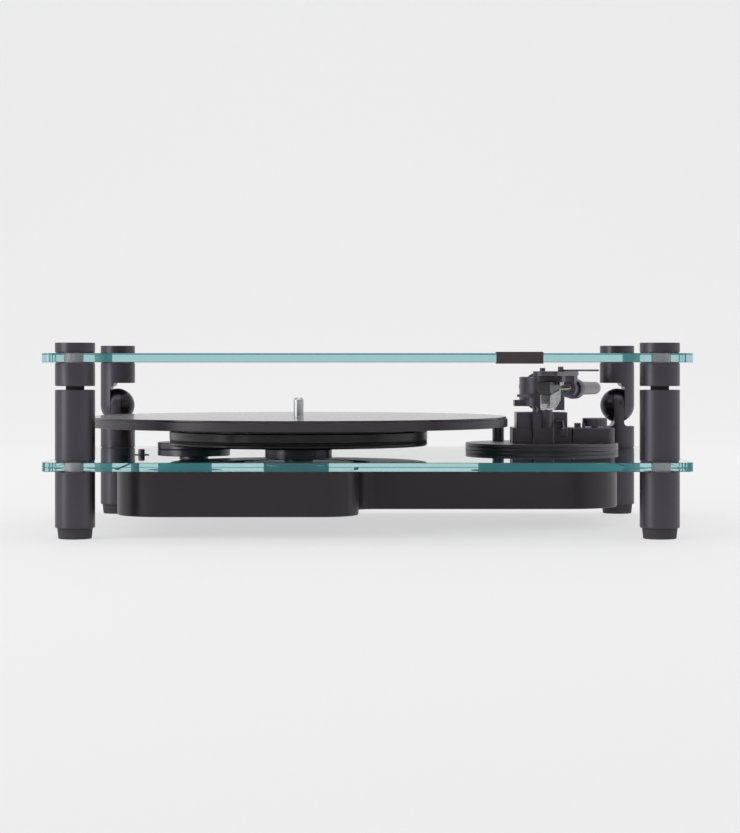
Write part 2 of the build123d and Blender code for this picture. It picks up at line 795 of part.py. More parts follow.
pin_r = record_pin_dia / 2
pin_root_r = pin_r + 0.4         # the pin is thicker where it runs through the platter and the mat
with BuildPart() as spindle:
    with BuildSketch(Plane.XZ):
        with BuildLine():
            Polyline(
                (0, shaft_foot), (spindle_shaft_dia / 2, shaft_foot), (spindle_shaft_dia / 2, platter_floor - fit),
                (pin_root_r, platter_floor - fit), (pin_root_r, mat_top), (pin_r, mat_top), (pin_r, pin_top - 1.6),
                (pin_r - 1.1, pin_top), (0, pin_top), close=True,
            )
        make_face()
    revolve(axis=Axis.Z)
write(spindle.part.translate((spindle_x, spindle_y, 0)), "spindle")

with BuildPart() as sub_platter:
    with BuildSketch(Plane.XZ):
        with BuildLine():
            grooved_profile(sub_r, spindle_shaft_dia / 2 + running, sub_bottom, sub_rim_top)
        make_face()
    revolve(axis=Axis.Z)
    with BuildSketch(Plane.XY.offset(sub_rim_top)):
        Circle(sub_boss_dia / 2)
        Circle(spindle_shaft_dia / 2 + running, mode=Mode.SUBTRACT)
    extrude(amount=platter_floor - sub_rim_top)
    with BuildSketch(Plane.XY.offset(sub_bottom)):
        Circle(sub_recess_outer / 2)
        Circle(sub_recess_inner / 2, mode=Mode.SUBTRACT)
    extrude(amount=sub_recess_depth, mode=Mode.SUBTRACT)
write(sub_platter.part.translate((spindle_x, spindle_y, 0)), "sub_platter")

with BuildPart() as platter:
    with BuildSketch(Plane.XY.offset(platter_floor)):
        with Locations((spindle_x, spindle_y)):
            Circle(platter_dia / 2)
    extrude(amount=platter_thickness)
    chamfer(platter.edges(), edge_break)
    with Locations((spindle_x, spindle_y, mat_bottom)):
        Hole(pin_root_r + running, depth=platter_thickness)
write(platter.part, "platter")

with BuildPart() as slip_mat:
    with BuildSketch(Plane.XY.offset(mat_bottom)):
        with Locations((spindle_x, spindle_y)):
            Circle(mat_dia / 2)
    extrude(amount=mat_thickness)
    fillet(slip_mat.edges().group_by(Axis.Z)[-1], edge_break)
    with Locations((spindle_x, spindle_y, mat_top)):
        Hole(pin_root_r + fit, depth=mat_thickness)
write(slip_mat.part, "slip_mat")

# ---------------------------------------------------------------- speed button
with BuildPart() as speed_button:
    with BuildSketch(Plane.XY.offset(deck_top + button_height - button_stem)):
        with Locations((button_x, button_y)):
            Circle(button_dia / 2)
    extrude(amount=button_stem)
    chamfer(speed_button.edges().group_by(Axis.Z)[-1], edge_break)
write(speed_button.part, "speed_button")

with BuildPart() as button_collar:
    with BuildSketch(Plane.XY.offset(deck_top)):
        with Locations((button_x, button_y)):
            Circle(button_washer_dia / 2)
            Circle(button_dia / 2 + fit, mode=Mode.SUBTRACT)
    extrude(amount=button_washer)
write(button_collar.part, "button_collar")

# ---------------------------------------------------------------- tonearm base
board_top = deck_top + armboard_thickness
base_top = board_top + base_height
tower_top = base_top + tower_height
with BuildPart() as armboard:
    with BuildSketch(Plane.XY.offset(deck_top)):
        with Locations((arm_x, arm_y)):
            Circle(armboard_dia / 2)
    extrude(amount=armboard_thickness)
    chamfer(armboard.edges(), edge_break)
write(armboard.part, "armboard")

yoke_floor = tower_top + yoke_gap
pillar_pin_r = 2.5
with BuildPart() as arm_base:
    with BuildSketch(Plane.XY.offset(board_top)):
        with Locations((arm_x - 0.5, arm_y)):
            Rectangle(base_width, base_depth)
    extrude(amount=base_height)
    with BuildSketch(Plane.XY.offset(base_top)):
        with Locations((arm_x - 0.8, arm_y)):
            Rectangle(tower_width, tower_depth)
    extrude(amount=tower_height)
    chamfer(arm_base.edges().filter_by(Axis.Z), 2 * edge_break)
    with BuildSketch(Plane.XY.offset(tower_top)):
        with Locations((arm_x, arm_y)):
            Circle(pillar_dia / 2)
    extrude(amount=yoke_gap - free)
    with BuildSketch(Plane.XY.offset(yoke_floor - free)):
        with Locations((arm_x, arm_y)):
            Circle(pillar_pin_r)
    extrude(amount=yoke_flange)
write(arm_base.part, "arm_base")

axle_z = tower_top - 6.5
lift_x = arm_x + 2.3
lift_y = arm_y - math.sqrt(lift_radius**2 - (lift_x - arm_x)**2)
lift_body_x = lift_x - 3.0
lift_body_y = arm_y - base_depth / 2 - lift_body_depth / 2
lift_top = tower_top + 5.0
bar_top = arm_axis_height - arm_tube_dia / 2 - lift_clearance
plunger_r = 1.5
lever_r = 1.2
with BuildPart() as lift_body:
    with BuildSketch(Plane.XY.offset(board_top)):
        with Locations((lift_body_x, lift_body_y)):
            Rectangle(lift_body_width, lift_body_depth)
    extrude(amount=tower_top - board_top)
    chamfer(lift_body.edges().filter_by(Axis.Z), 2.5 * edge_break)
    with BuildSketch(Plane.XY.offset(base_top)):
        with Locations((lift_x, lift_y)):
            Circle(lift_cylinder_dia / 2)
    extrude(amount=lift_top - base_top)
    with BuildSketch(Plane.XY.offset(base_top + 2.0)):
        with Locations((lift_x, lift_y)):
            Circle(plunger_r + running)
    extrude(amount=lift_top - base_top, mode=Mode.SUBTRACT)
    with BuildSketch(Plane.YZ.offset(lift_body_x + lift_body_width / 2 - 5.0)):
        with Locations((lift_body_y + 0.5, axle_z)):
            Circle(lever_r + running)
    extrude(amount=5.0, mode=Mode.SUBTRACT)
write(lift_body.part, "lift_body")

bar_from = math.degrees(math.atan2(lift_y - arm_y, lift_x - arm_x)) + 9.0
bar_sweep = -56.0
with BuildPart() as lift_platform:
    with BuildSketch(Plane.XY.offset(bar_top - lift_bar_thickness)):
        with BuildLine() as bar_line:
            CenterArc((arm_x, arm_y), lift_radius, bar_from, bar_sweep)
        SlotArc(bar_line.wire(), lift_bar_width)
    extrude(amount=lift_bar_thickness)
    with BuildSketch(Plane.XY.offset(base_top + 2.0 + lift_travel + free)):
        with Locations((lift_x, lift_y)):
            Circle(plunger_r)
    extrude(amount=bar_top - lift_bar_thickness - base_top - 2.0 - lift_travel - free)
write(lift_platform.part, "lift_platform")

rest_right = lift_x + 12.4
rest_floor = lift_top - 3.0
rest_shelf = bar_top - lift_bar_thickness - lift_travel - free
rest_wall = 2.6
rest_ring = 1.6
with BuildPart() as arm_rest:
    with BuildSketch(Plane.XY.offset(rest_floor)):
        with Locations((lift_x, lift_y)):
            Circle(lift_cylinder_dia / 2 + rest_ring)
        with Locations((rest_right, lift_y)):
            Rectangle(rest_right - lift_x, 6.0, align=(Align.MAX, Align.CENTER))
        with Locations((lift_x, lift_y)):
            Circle(lift_cylinder_dia / 2 + running, mode=Mode.SUBTRACT)
    extrude(amount=rest_shelf - rest_floor)
    with BuildSketch(Plane.XY.offset(rest_shelf)):
        with Locations((rest_right, lift_y)):
            Rectangle(rest_wall, 6.0, align=(Align.MAX, Align.CENTER))
    extrude(amount=arm_axis_height - 1.0 - rest_shelf)
    fillet(arm_rest.edges().filter_by(Axis.Y).group_by(Axis.Z)[-1], 0.8)
write(arm_rest.part, "arm_rest")

lever_x = lift_body_x + lift_body_width / 2 + 6.0
lever_y = lift_body_y + 0.5
lever_reach = 19.0
lever_drop = 7.5
paddle_width = 4.9
paddle_height = 6.3
lever_root = lift_body_x + lift_body_width / 2 - 5.0 + running
with BuildPart() as cue_lever:
    with Locations((lever_x, lever_y - lever_reach, axle_z - lever_drop)):
        Box(paddle_width, 2.6, paddle_height)
    fillet(cue_lever.edges(), 0.6)
    with BuildSketch(Plane.YZ.offset(lever_root)):
        with Locations((lever_y, axle_z)):
            Circle(lever_r)
    extrude(amount=lever_x - lever_root)
    with Locations((lever_x, lever_y, axle_z)):
        Sphere(lever_r)
    with BuildSketch(Plane(origin=(lever_x, lever_y, axle_z), z_dir=(0, -lever_reach, -lever_drop))):
        Circle(lever_r)
    extrude(amount=math.hypot(lever_reach, lever_drop))
write(cue_lever.part, "cue_lever")

# ---------------------------------------------------------------- anti-skating box and ground terminal
box_left = arm_x - 0.5 + base_width / 2
box_y = arm_y - 1.5
knob_x = box_left + 17.5
knob_y = box_y - 4.0
with BuildPart() as side_box:
    with BuildSketch(Plane.XY.offset(board_top)):
        with Locations((box_left + side_box_width / 2, box_y)):
            Rectangle(side_box_width, side_box_depth)
    extrude(amount=side_box_height)
    fillet(side_box.edges().filter_by(Axis.Z).group_by(Axis.X)[-1], 5.0)
    chamfer(side_box.faces().sort_by(Axis.Z)[-1].edges(), edge_break)
    with BuildSketch(Plane.XY.offset(board_top + side_box_height)):
        with Locations((box_left + 4.5, knob_y)):
            Rectangle(4.5, 6.0)
        with Locations((box_left + 8.6, knob_y - 6.5)):
            Circle(1.3)
    extrude(amount=3.4)
    with Locations((knob_x, knob_y, board_top + side_box_height)):
        Hole(2.5 + running, depth=6.0)
write(side_box.part, "side_box")

knob_floor = board_top + side_box_height + 0.8
with BuildPart() as anti_skate_knob:
    with BuildSketch(Plane.XY.offset(knob_floor)):
        with Locations((knob_x, knob_y)):
            Circle(knob_dia / 2)
    extrude(amount=knob_height)
    chamfer(anti_skate_knob.edges().group_by(Axis.Z)[-1], 1.5 * edge_break)
    flute_count = 36
    with BuildSketch(Plane.XY.offset(knob_floor)):
        with Locations((knob_x, knob_y)):
            with PolarLocations(knob_dia / 2 + 0.15, flute_count):
                Circle(0.4)
    extrude(amount=knob_height - 1.2, mode=Mode.SUBTRACT)
    with BuildSketch(Plane.XY.offset(knob_floor)):
        with Locations((knob_x, knob_y)):
            Circle(2.5)
    extrude(amount=-6.0)
write(anti_skate_knob.part, "anti_skate_knob")

with BuildPart() as ground_terminal:
    with BuildSketch(Plane.XY.offset(board_top)):
        with Locations((terminal_x, terminal_y)):
            Circle(terminal_dia / 2)
    extrude(amount=terminal_height)
    chamfer(ground_terminal.edges().group_by(Axis.Z)[-1], 2 * edge_break)
    with BuildSketch(Plane.XZ.offset(-terminal_y - terminal_dia)):
        with Locations((terminal_x, board_top + 3.0)):
            Circle(1.2)
    extrude(amount=2 * terminal_dia, mode=Mode.SUBTRACT)
write(ground_terminal.part, "ground_terminal")

# ---------------------------------------------------------------- arm bearing
floor_top = yoke_floor + yoke_flange

bend_x = stylus_x + bend_distance * math.sin(math.radians(head_angle))
bend_y = stylus_y + bend_distance * math.cos(math.radians(head_angle))
tube_turn = math.degrees(math.atan2(bend_y - arm_y, bend_x - arm_x))
rear_turn = math.degrees(math.atan2(arm_y - stylus_y, arm_x - stylus_x))
weight_axis = arm_axis_height - weight_drop
tilt_play = 1.6                 # room around the tube and the stub for the arm to tip
tube_plane = Plane(origin=(arm_x, arm_y, 0)).rotated((0, 0, tube_turn))
stub_plane = Plane(origin=(arm_x, arm_y, 0)).rotated((0, 0, rear_turn))
with BuildPart() as bearing_yoke:
    with BuildSketch(Plane.XY.offset(yoke_floor)):
        with Locations((arm_x, arm_y)):
            Circle(yoke_dia / 2)
    extrude(amount=yoke_height)
    chamfer(bearing_yoke.edges().group_by(Axis.Z)[-1], edge_break)
    with BuildSketch(Plane.XY.offset(yoke_floor)):
        with Locations((arm_x - yoke_flange_reach, arm_y)):
            Rectangle(yoke_flange_reach, yoke_dia / 2, align=(Align.MIN, Align.CENTER))
    extrude(amount=yoke_flange)
    with BuildSketch(Plane.XY.offset(floor_top)):
        with Locations((arm_x, arm_y)):
            Circle(yoke_cavity / 2)
    extrude(amount=yoke_height, mode=Mode.SUBTRACT)
    slots = (
        (tube_plane, arm_tube_dia, arm_axis_height),
        (stub_plane, stub_dia, weight_axis),
    )
    for slot_plane, bar_dia, bar_height in slots:
        slot_width = bar_dia + 2 * tilt_play
        with BuildSketch(slot_plane.offset(bar_height - slot_width / 2)):
            Rectangle(yoke_dia, slot_width, align=(Align.MIN, Align.CENTER))
        extrude(amount=yoke_height, mode=Mode.SUBTRACT)
    with BuildSketch(Plane.XY.offset(yoke_floor)):
        with Locations((arm_x, arm_y)):
            Circle(pillar_pin_r + running)
    extrude(amount=yoke_flange - free + running, mode=Mode.SUBTRACT)
    for turn in (90, -90):
        with BuildSketch(Plane(origin=(arm_x, arm_y, arm_axis_height), z_dir=stub_plane.x_dir.rotate(Axis.Z, turn))):
            Circle(pivot_screw_dia / 2 + running)
        extrude(amount=yoke_dia, mode=Mode.SUBTRACT)
write(bearing_yoke.part, "bearing_yoke")

screw_reach = arm_block / 2 - 3.0
with BuildPart() as pivot_screws:
    for turn in (90, -90):
        screw_dir = stub_plane.x_dir.rotate(Axis.Z, turn)
        screw_start = Vector(arm_x, arm_y, arm_axis_height) + screw_dir * screw_reach
        with BuildSketch(Plane(origin=screw_start, z_dir=screw_dir)):
            Circle(pivot_screw_dia / 2)
        extrude(amount=yoke_dia / 2 - screw_reach + 0.2)
write(pivot_screws.part, "pivot_screws")

block_floor = arm_axis_height - 9.0
stub_end = weight_start + weight_length + weight_travel + 3.0
with BuildPart() as arm_block_part:
    with BuildSketch(stub_plane.offset(block_floor)):
        Rectangle(arm_block, arm_block)
    extrude(amount=arm_block_height)
    chamfer(arm_block_part.edges().filter_by(Axis.Z), 1.0)
    with BuildSketch(Plane(origin=(arm_x, arm_y, weight_axis), z_dir=stub_plane.x_dir)):
        Circle(stub_dia / 2)
    extrude(amount=stub_end)
    with BuildSketch(Plane(origin=(arm_x, arm_y, arm_axis_height), z_dir=tube_plane.x_dir)):
        Circle(arm_tube_dia / 2 + running)
    extrude(amount=arm_block, mode=Mode.SUBTRACT)
    for turn in (90, -90):
        with BuildSketch(Plane(origin=(arm_x, arm_y, arm_axis_height), z_dir=stub_plane.x_dir.rotate(Axis.Z, turn))):
            Circle(pivot_screw_dia / 2 + running)
        extrude(amount=arm_block, mode=Mode.SUBTRACT)
write(arm_block_part.part, "arm_block")

with BuildPart() as counterweight:
    weight_plane = Plane(origin=Vector(arm_x, arm_y, weight_axis) + stub_plane.x_dir * weight_start,
                         z_dir=stub_plane.x_dir)
    with BuildSketch(weight_plane):
        Circle(weight_dia / 2)
        Circle(stub_dia / 2 + running, mode=Mode.SUBTRACT)
    extrude(amount=weight_length)
    weight_rims = counterweight.edges().filter_by(GeomType.CIRCLE).filter_by(lambda e: e.radius > stub_dia)
    chamfer(weight_rims, 2 * edge_break)
write(counterweight.part, "counterweight")

# ---------------------------------------------------------------- arm tube, headshell and cartridge
# Headshell frame: local x points forward along the headshell, local y to its right.
back = Vector(math.sin(math.radians(head_angle)), math.cos(math.radians(head_angle)), 0)
stylus = Vector(stylus_x, stylus_y, 0)
head_plane = Plane(origin=stylus, x_dir=back * -1, z_dir=(0, 0, 1))
tube_r = arm_tube_dia / 2
collar_r = collar_dia / 2
collar_rear = collar_front + head_collar_length
tube_socket = 4.0
ferrule_length = 6.0
axis_point = stylus + Vector(0, 0, arm_axis_height)
with BuildPart() as arm_tube:
    with BuildLine() as tube_path:
        FilletPolyline(
            Vector(arm_x, arm_y, arm_axis_height) + tube_plane.x_dir * tube_socket,
            (bend_x, bend_y, arm_axis_height),
            axis_point + back * (collar_front + free),
            radius=bend_radius,
        )
    with BuildSketch(Plane(origin=tube_path.line @ 0, z_dir=tube_path.line % 0)):
        Circle(tube_r)
        Circle(tube_r - 0.8, mode=Mode.SUBTRACT)
    sweep()
    with BuildSketch(Plane(origin=axis_point + back * (collar_rear + free), z_dir=back)):
        Circle(collar_r)
        Circle(tube_r - 0.4, mode=Mode.SUBTRACT)
    extrude(amount=ferrule_length, taper=18)
write(arm_tube.part, "arm_tube")

with BuildPart() as headshell_collar:
    with BuildSketch(Plane(origin=axis_point + back * collar_front, z_dir=back)):
        Circle(collar_r)
        Circle(tube_r + running, mode=Mode.SUBTRACT)
    extrude(amount=head_collar_length)
    collar_rims = headshell_collar.edges().filter_by(GeomType.CIRCLE).filter_by(lambda e: e.radius > tube_r + 1)
    chamfer(collar_rims, edge_break)
write(headshell_collar.part, "headshell_collar")

headshell_floor = headshell_top - headshell_thickness
tail_rear = collar_front - free
tail_front = tail_rear - tail_block
tail_width = 10.0
screw_places = [(-cartridge_screw_back, side * cartridge_screw_pitch / 2) for side in (-1, 1)]
finger_length = 26.5
finger_thickness = 0.9
with BuildPart() as headshell:
    with BuildSketch(head_plane.offset(headshell_floor)):
        with BuildLine():
            half = headshell_width / 2
            Line((-tail_front + 4.0, half), (headshell_nose - half + 2.0, half))
            CenterArc((headshell_nose - half + 2.0, 0), half, 90, -180)
            Line((headshell_nose - half + 2.0, -half), (-tail_front + 4.0, -half))
            Polyline(
                (-tail_front + 4.0, -half), (-tail_front - 4.0, -tail_width / 2), (-tail_rear, -tail_width / 2),
                (-tail_rear, tail_width / 2), (-tail_front - 4.0, tail_width / 2), (-tail_front + 4.0, half),
            )
        make_face()
    extrude(amount=headshell_thickness)
    chamfer(headshell.faces().sort_by(Axis.Z)[-1].edges(), edge_break)
    with BuildSketch(head_plane.offset(arm_axis_height - collar_r + 1.5)):
        with Locations((-tail_rear, 0)):
            Rectangle(tail_block, tail_width, align=(Align.MIN, Align.CENTER))
    extrude(amount=headshell_floor - arm_axis_height + collar_r - 1.5)
    with BuildSketch(head_plane.offset(headshell_top)) as finger:
        with Locations(screw_places[1]):
            Circle(cartridge_screw_head / 2)
            Rectangle(3.0, finger_length, align=(Align.CENTER, Align.MIN))
    extrude(amount=finger_thickness)
    finger_tips = headshell.edges().filter_by(Axis.Z).filter_by(GeomType.LINE).sort_by(Axis.X)[-2:]
    fillet(finger_tips, 1.2)
    with Locations(head_plane.offset(headshell_top + finger_thickness)):
        with Locations(*screw_places):
            Hole(cartridge_screw_dia / 2 + running, depth=headshell_thickness + finger_thickness)
write(headshell.part, "headshell")

flange_floor = headshell_floor - cartridge_flange
body_front = 7.0
body_rear = body_front - cartridge_length
body_width = 8.4
body_low = flange_floor - cartridge_drop
body_rise = 4.2                 # the underside climbs this much from front to rear
needle_angle = 19.0
holder_floor = stylus_tip + 2.8
side_plane = Plane(origin=stylus, x_dir=back * -1, z_dir=Vector(0, 0, 1).cross(back))
with BuildPart() as cartridge:
    with BuildSketch(head_plane.offset(flange_floor)):
        with Locations((-cartridge_screw_back, 0)):
            RectangleRounded(10.0, cartridge_width + 0.6, 2.0)
    extrude(amount=cartridge_flange)
    with BuildSketch(side_plane):
        with BuildLine():
            Polyline(
                (body_front, flange_floor), (body_front, body_low + 2.5), (body_front - 2.5, body_low),
                (body_rear, body_low + body_rise), (body_rear, flange_floor), close=True,
            )
        make_face()
    extrude(amount=body_width / 2, both=True)
    chamfer(cartridge.edges().group_by(Axis.Z)[0], 1.0)
    with Locations(head_plane.offset(headshell_floor)):
        with Locations(*screw_places):
            Hole(cartridge_screw_dia / 2 + running, depth=cartridge_flange)
    with BuildSketch(head_plane.offset(holder_floor)):
        with Locations((-5.5, 0)):
            Rectangle(9.0, 4.4)
    extrude(amount=body_low + body_rise - holder_floor)
    needle_lift = math.tan(math.radians(needle_angle))
    with BuildSketch(Plane(origin=(stylus_x, stylus_y, stylus_tip), z_dir=(back.X, back.Y, needle_lift))):
        Circle(0.35)
    extrude(amount=10.0)
write(cartridge.part, "cartridge")

nut_dia = 3.9
with BuildPart() as cartridge_screws:
    for place in screw_places:
        head_floor = headshell_top + (finger_thickness if place[1] > 0 else 0)
        with BuildSketch(head_plane.offset(flange_floor - 2.4)):
            with Locations(place):
                Circle(cartridge_screw_dia / 2)
        extrude(amount=head_floor - flange_floor + 2.4)
        with BuildSketch(head_plane.offset(head_floor)):
            with Locations(place):
                Circle(cartridge_screw_head / 2)
                RegularPolygon(0.95, 6, mode=Mode.SUBTRACT)
        extrude(amount=cartridge_screw_head_height)
        with BuildSketch(head_plane.offset(head_floor)):
            with Locations(place):
                Circle(cartridge_screw_head / 2)
        extrude(amount=0.9)
        with BuildSketch(head_plane.offset(flange_floor - 2.0)):
            with Locations(place):
                Circle(nut_dia / 2)
        extrude(amount=2.0)
write(cartridge_screws.part, "cartridge_screws")

guard_floor = stylus_tip - guard_tip_gap - guard_wall
guard_top = body_low - 0.5
guard_nose = 2.5
guard_tail = guard_nose - guard_length
guard_top_rise = body_rise * (guard_nose - guard_tail) / cartridge_length
with BuildPart() as stylus_guard:
    with BuildSketch(side_plane):
        with BuildLine():
            Polyline(
                (guard_nose, guard_floor + 1.8), (guard_nose - 1.8, guard_floor), (guard_nose - 7.5, guard_floor + 0.3),
                (guard_tail, guard_floor + guard_rise), (guard_tail, guard_top + guard_top_rise),
                (guard_nose, guard_top), close=True,
            )
        make_face()
    extrude(amount=guard_width / 2, both=True)
    fillet(stylus_guard.edges().filter_by(Axis.Z), 0.8)
    with BuildSketch(side_plane):
        with BuildLine():
            Polyline(
                (guard_nose - guard_wall, 2 * guard_top), (guard_nose - guard_wall, guard_floor + guard_wall),
                (guard_nose - 7.5, guard_floor + guard_wall), (guard_nose - 7.5, 0), (2 * guard_tail, 0),
                (2 * guard_tail, 2 * guard_top), close=True,
            )
        make_face()
    extrude(amount=guard_width / 2 - guard_wall, both=True, mode=Mode.SUBTRACT)
write(stylus_guard.part, "stylus_guard")

lead_dia = 0.7
lead_gap = 0.3
lead_ends = [(-1.5, 1.5), (1.5, 1.5), (-1.5, -1.5), (1.5, -1.5)]
pin_rear = body_rear - lead_gap
leads = []
for side_step, up_step in lead_ends:
    with BuildPart() as lead:
        with BuildLine(head_plane) as lead_path:
            run = tail_front + pin_rear
            start = (pin_rear, side_step, arm_axis_height + up_step - 1.0)
            finish = (-tail_front + lead_gap, side_step, arm_axis_height + up_step)
            bulge = 2.2 * side_step
            sag = arm_axis_height - 4.0 + 1.5 * up_step
            FilletPolyline(
                start, (pin_rear - 0.3 * run, bulge, sag + 1.0), (pin_rear - 0.7 * run, bulge, sag), finish,
                radius=3.0,
            )
        with BuildSketch(Plane(origin=lead_path.line @ 0, z_dir=lead_path.line % 0)):
            Circle(lead_dia / 2)
        sweep()
    leads.append(lead.part)
write(Compound(children=leads), "cartridge_leads")
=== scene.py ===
import math

import bmesh
import bpy
from bpy.props import FloatProperty, IntProperty, PointerProperty, StringProperty
from mathutils import Matrix, Vector


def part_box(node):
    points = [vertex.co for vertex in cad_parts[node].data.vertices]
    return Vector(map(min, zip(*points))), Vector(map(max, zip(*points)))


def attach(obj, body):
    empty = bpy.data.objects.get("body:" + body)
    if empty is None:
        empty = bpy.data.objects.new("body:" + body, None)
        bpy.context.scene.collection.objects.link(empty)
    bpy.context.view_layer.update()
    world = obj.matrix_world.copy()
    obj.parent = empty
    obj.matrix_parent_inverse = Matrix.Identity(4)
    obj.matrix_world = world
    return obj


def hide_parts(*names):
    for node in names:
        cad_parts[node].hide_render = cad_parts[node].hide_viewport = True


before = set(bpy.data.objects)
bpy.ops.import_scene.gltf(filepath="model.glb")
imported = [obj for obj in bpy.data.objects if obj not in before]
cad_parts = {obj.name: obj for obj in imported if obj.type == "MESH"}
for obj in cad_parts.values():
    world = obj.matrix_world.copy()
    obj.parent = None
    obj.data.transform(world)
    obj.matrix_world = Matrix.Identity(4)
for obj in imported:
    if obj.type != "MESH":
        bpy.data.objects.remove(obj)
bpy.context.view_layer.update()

bl_info = {
    "name": "Glass record player",
    "version": (1, 0, 0),
    "blender": (4, 5, 0),
    "location": "View3D > Sidebar > Record player",
    "description": "Finishes the pieces of a record player with a glass deck and a glass lid",
    "category": "Object",
}

MM = 0.001

# Cells of broad colour variation in a metre, so each is about 22 mm across.
BROAD_CELLS = 45.0

# The arm, seen from above: where it turns, and the point under the needle, in metres.
PIVOT = (131.5 * MM, 89 * MM)
NEEDLE = (118.9 * MM, -129 * MM)
# The direction from the needle to the pivot, in millimetres.
NEEDLE_TO_PIVOT = (12.6, 218.0, 0)
# The way the headshell points, in degrees from the x axis.
HEAD_TURN = -113
# Height of the tube's axis at the headshell, in millimetres.
TUBE_HEIGHT = 98.3
# How far the locking collar is behind the needle, in millimetres, and its radius, in metres.
COLLAR_BACK = 53
COLLAR_RADIUS = 6.9 * MM
# Half the pitch of the two cartridge screws, in metres.
SCREW_REACH = 6.35 * MM


# ---- meshes
def lathe(bm, profile, centre=(0.0, 0.0), steps=128, closed=False):
    """Turns a profile of (radius, height) points round an upright line through the centre."""
    verts = [bm.verts.new((centre[0] + r, centre[1], z)) for r, z in profile]
    pairs = list(zip(verts, verts[1:])) + ([(verts[-1], verts[0])] if closed else [])
    edges = [bm.edges.new(pair) for pair in pairs]
    bmesh.ops.spin(
        bm, geom=verts + edges, cent=(centre[0], centre[1], 0), axis=(0, 0, 1),
        angle=math.tau, steps=steps, use_merge=True,
    )
    bmesh.ops.remove_doubles(bm, verts=bm.verts, dist=1e-6)


def turn(profile, centre=(0.0, 0.0), steps=128, closed=False, soften=0.0, along=None):
    """A turned solid as its own bmesh, with its sharp rims rounded, stood along a direction if one is given."""
    bm = bmesh.new()
    lathe(bm, profile, (0.0, 0.0), steps, closed)
    if soften:
        round_edges(bm, soften)
    place = Matrix.Translation((centre[0], centre[1], centre[2] if len(centre) > 2 else 0.0))
    if along is not None:
        place = place @ Vector((0, 0, 1)).rotation_difference(Vector(along)).to_matrix().to_4x4()
    bmesh.ops.transform(bm, matrix=place, verts=bm.verts)
    return bm


def round_edges(bm, width, segments=3, angle=30.0, pick=None):
    """Rounds every edge sharper than the angle, or those of them that pick accepts."""
    sharp = [
        e for e in bm.edges
        if len(e.link_faces) == 2 and e.calc_face_angle(0.0) > math.radians(angle) and (pick is None or pick(e))
    ]
    if sharp:
        bmesh.ops.bevel(
            bm, geom=sharp, offset=width, offset_type="OFFSET", segments=segments, profile=0.5,
            affect="EDGES", material=-1, clamp_overlap=True,
        )


def block(size, centre, soften=0.0, segments=3):
    """A rectangular solid with rounded edges."""
    bm = bmesh.new()
    bmesh.ops.create_cube(bm, size=1.0)
    bmesh.ops.scale(bm, vec=size, verts=bm.verts)
    if soften:
        round_edges(bm, soften, segments)
    bmesh.ops.translate(bm, vec=centre, verts=bm.verts)
    return bm


def outline_face(bm, corners, z):
    """A flat face through (x, y, radius) corners, each rounded to its radius."""
    verts = [bm.verts.new((x, y, z)) for x, y, _ in corners]
    bm.faces.new(verts)
    for vert, (_, _, radius) in zip(verts, corners):
        if radius:
            bmesh.ops.bevel(
                bm, geom=[vert], offset=radius, offset_type="OFFSET", segments=16, profile=0.5,
                affect="VERTICES", material=-1,
            )
    return bm.faces[:]


def raise_face(bm, faces, height):
    """Extrudes flat faces upwards into a closed solid."""
    made = bmesh.ops.extrude_face_region(bm, geom=faces, use_keep_orig=True)
    top = [v for v in made["geom"] if isinstance(v, bmesh.types.BMVert)]
    bmesh.ops.translate(bm, vec=(0, 0, height), verts=top)


def join(*parts):
    """Puts several bmeshes into one."""
    whole = bmesh.new()
    for part in parts:
        mesh = bpy.data.meshes.new("part")
        part.to_mesh(mesh)
        part.free()
        whole.from_mesh(mesh)
        bpy.data.meshes.remove(mesh)
    return whole


def piece(bm, name, body, finish, nodes=(), sharp=32.0):
    """Makes a bmesh a shown piece that rides on a body and stands for CAD nodes."""
    bmesh.ops.recalc_face_normals(bm, faces=bm.faces)
    for face in bm.faces:
        face.smooth = True
    for edge in bm.edges:
        edge.smooth = len(edge.link_faces) == 2 and edge.calc_face_angle(0.0) < math.radians(sharp)
    mesh = bpy.data.meshes.new(name)
    bm.to_mesh(mesh)
    bm.free()
    mesh.materials.append(finish)
    obj = bpy.data.objects.new(name, mesh)
    bpy.context.scene.collection.objects.link(obj)
    flats = obj.modifiers.new("even_flats", "WEIGHTED_NORMAL")
    flats.keep_sharp = True
    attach(obj, body)
    if nodes:
        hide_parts(*nodes)


def coat(node, finish):
    """Gives a CAD node a finish."""
    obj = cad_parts[node]
    for entry in obj.material_slots:
        entry.material = finish
    if not obj.material_slots:
        obj.data.materials.append(finish)


# ---- finishes
def linear(colour, alpha=1.0):
    """sRGB hex to linear RGBA."""
    parts = [int(colour[i:i + 2], 16) / 255 for i in (1, 3, 5)]
    return [p / 12.92 if p <= 0.04045 else ((p + 0.055) / 1.055) ** 2.4 for p in parts] + [alpha]


def add(tree, kind, settings, links=()):
    """Adds a node with its settings and the links into it."""
    node = tree.nodes.new(kind)
    for key, value in settings.items():
        if key in node.inputs:
            node.inputs[key].default_value = value
        else:
            setattr(node, key, value)
    for target, source in links:
        tree.links.new(source, node.inputs[target])
    return node


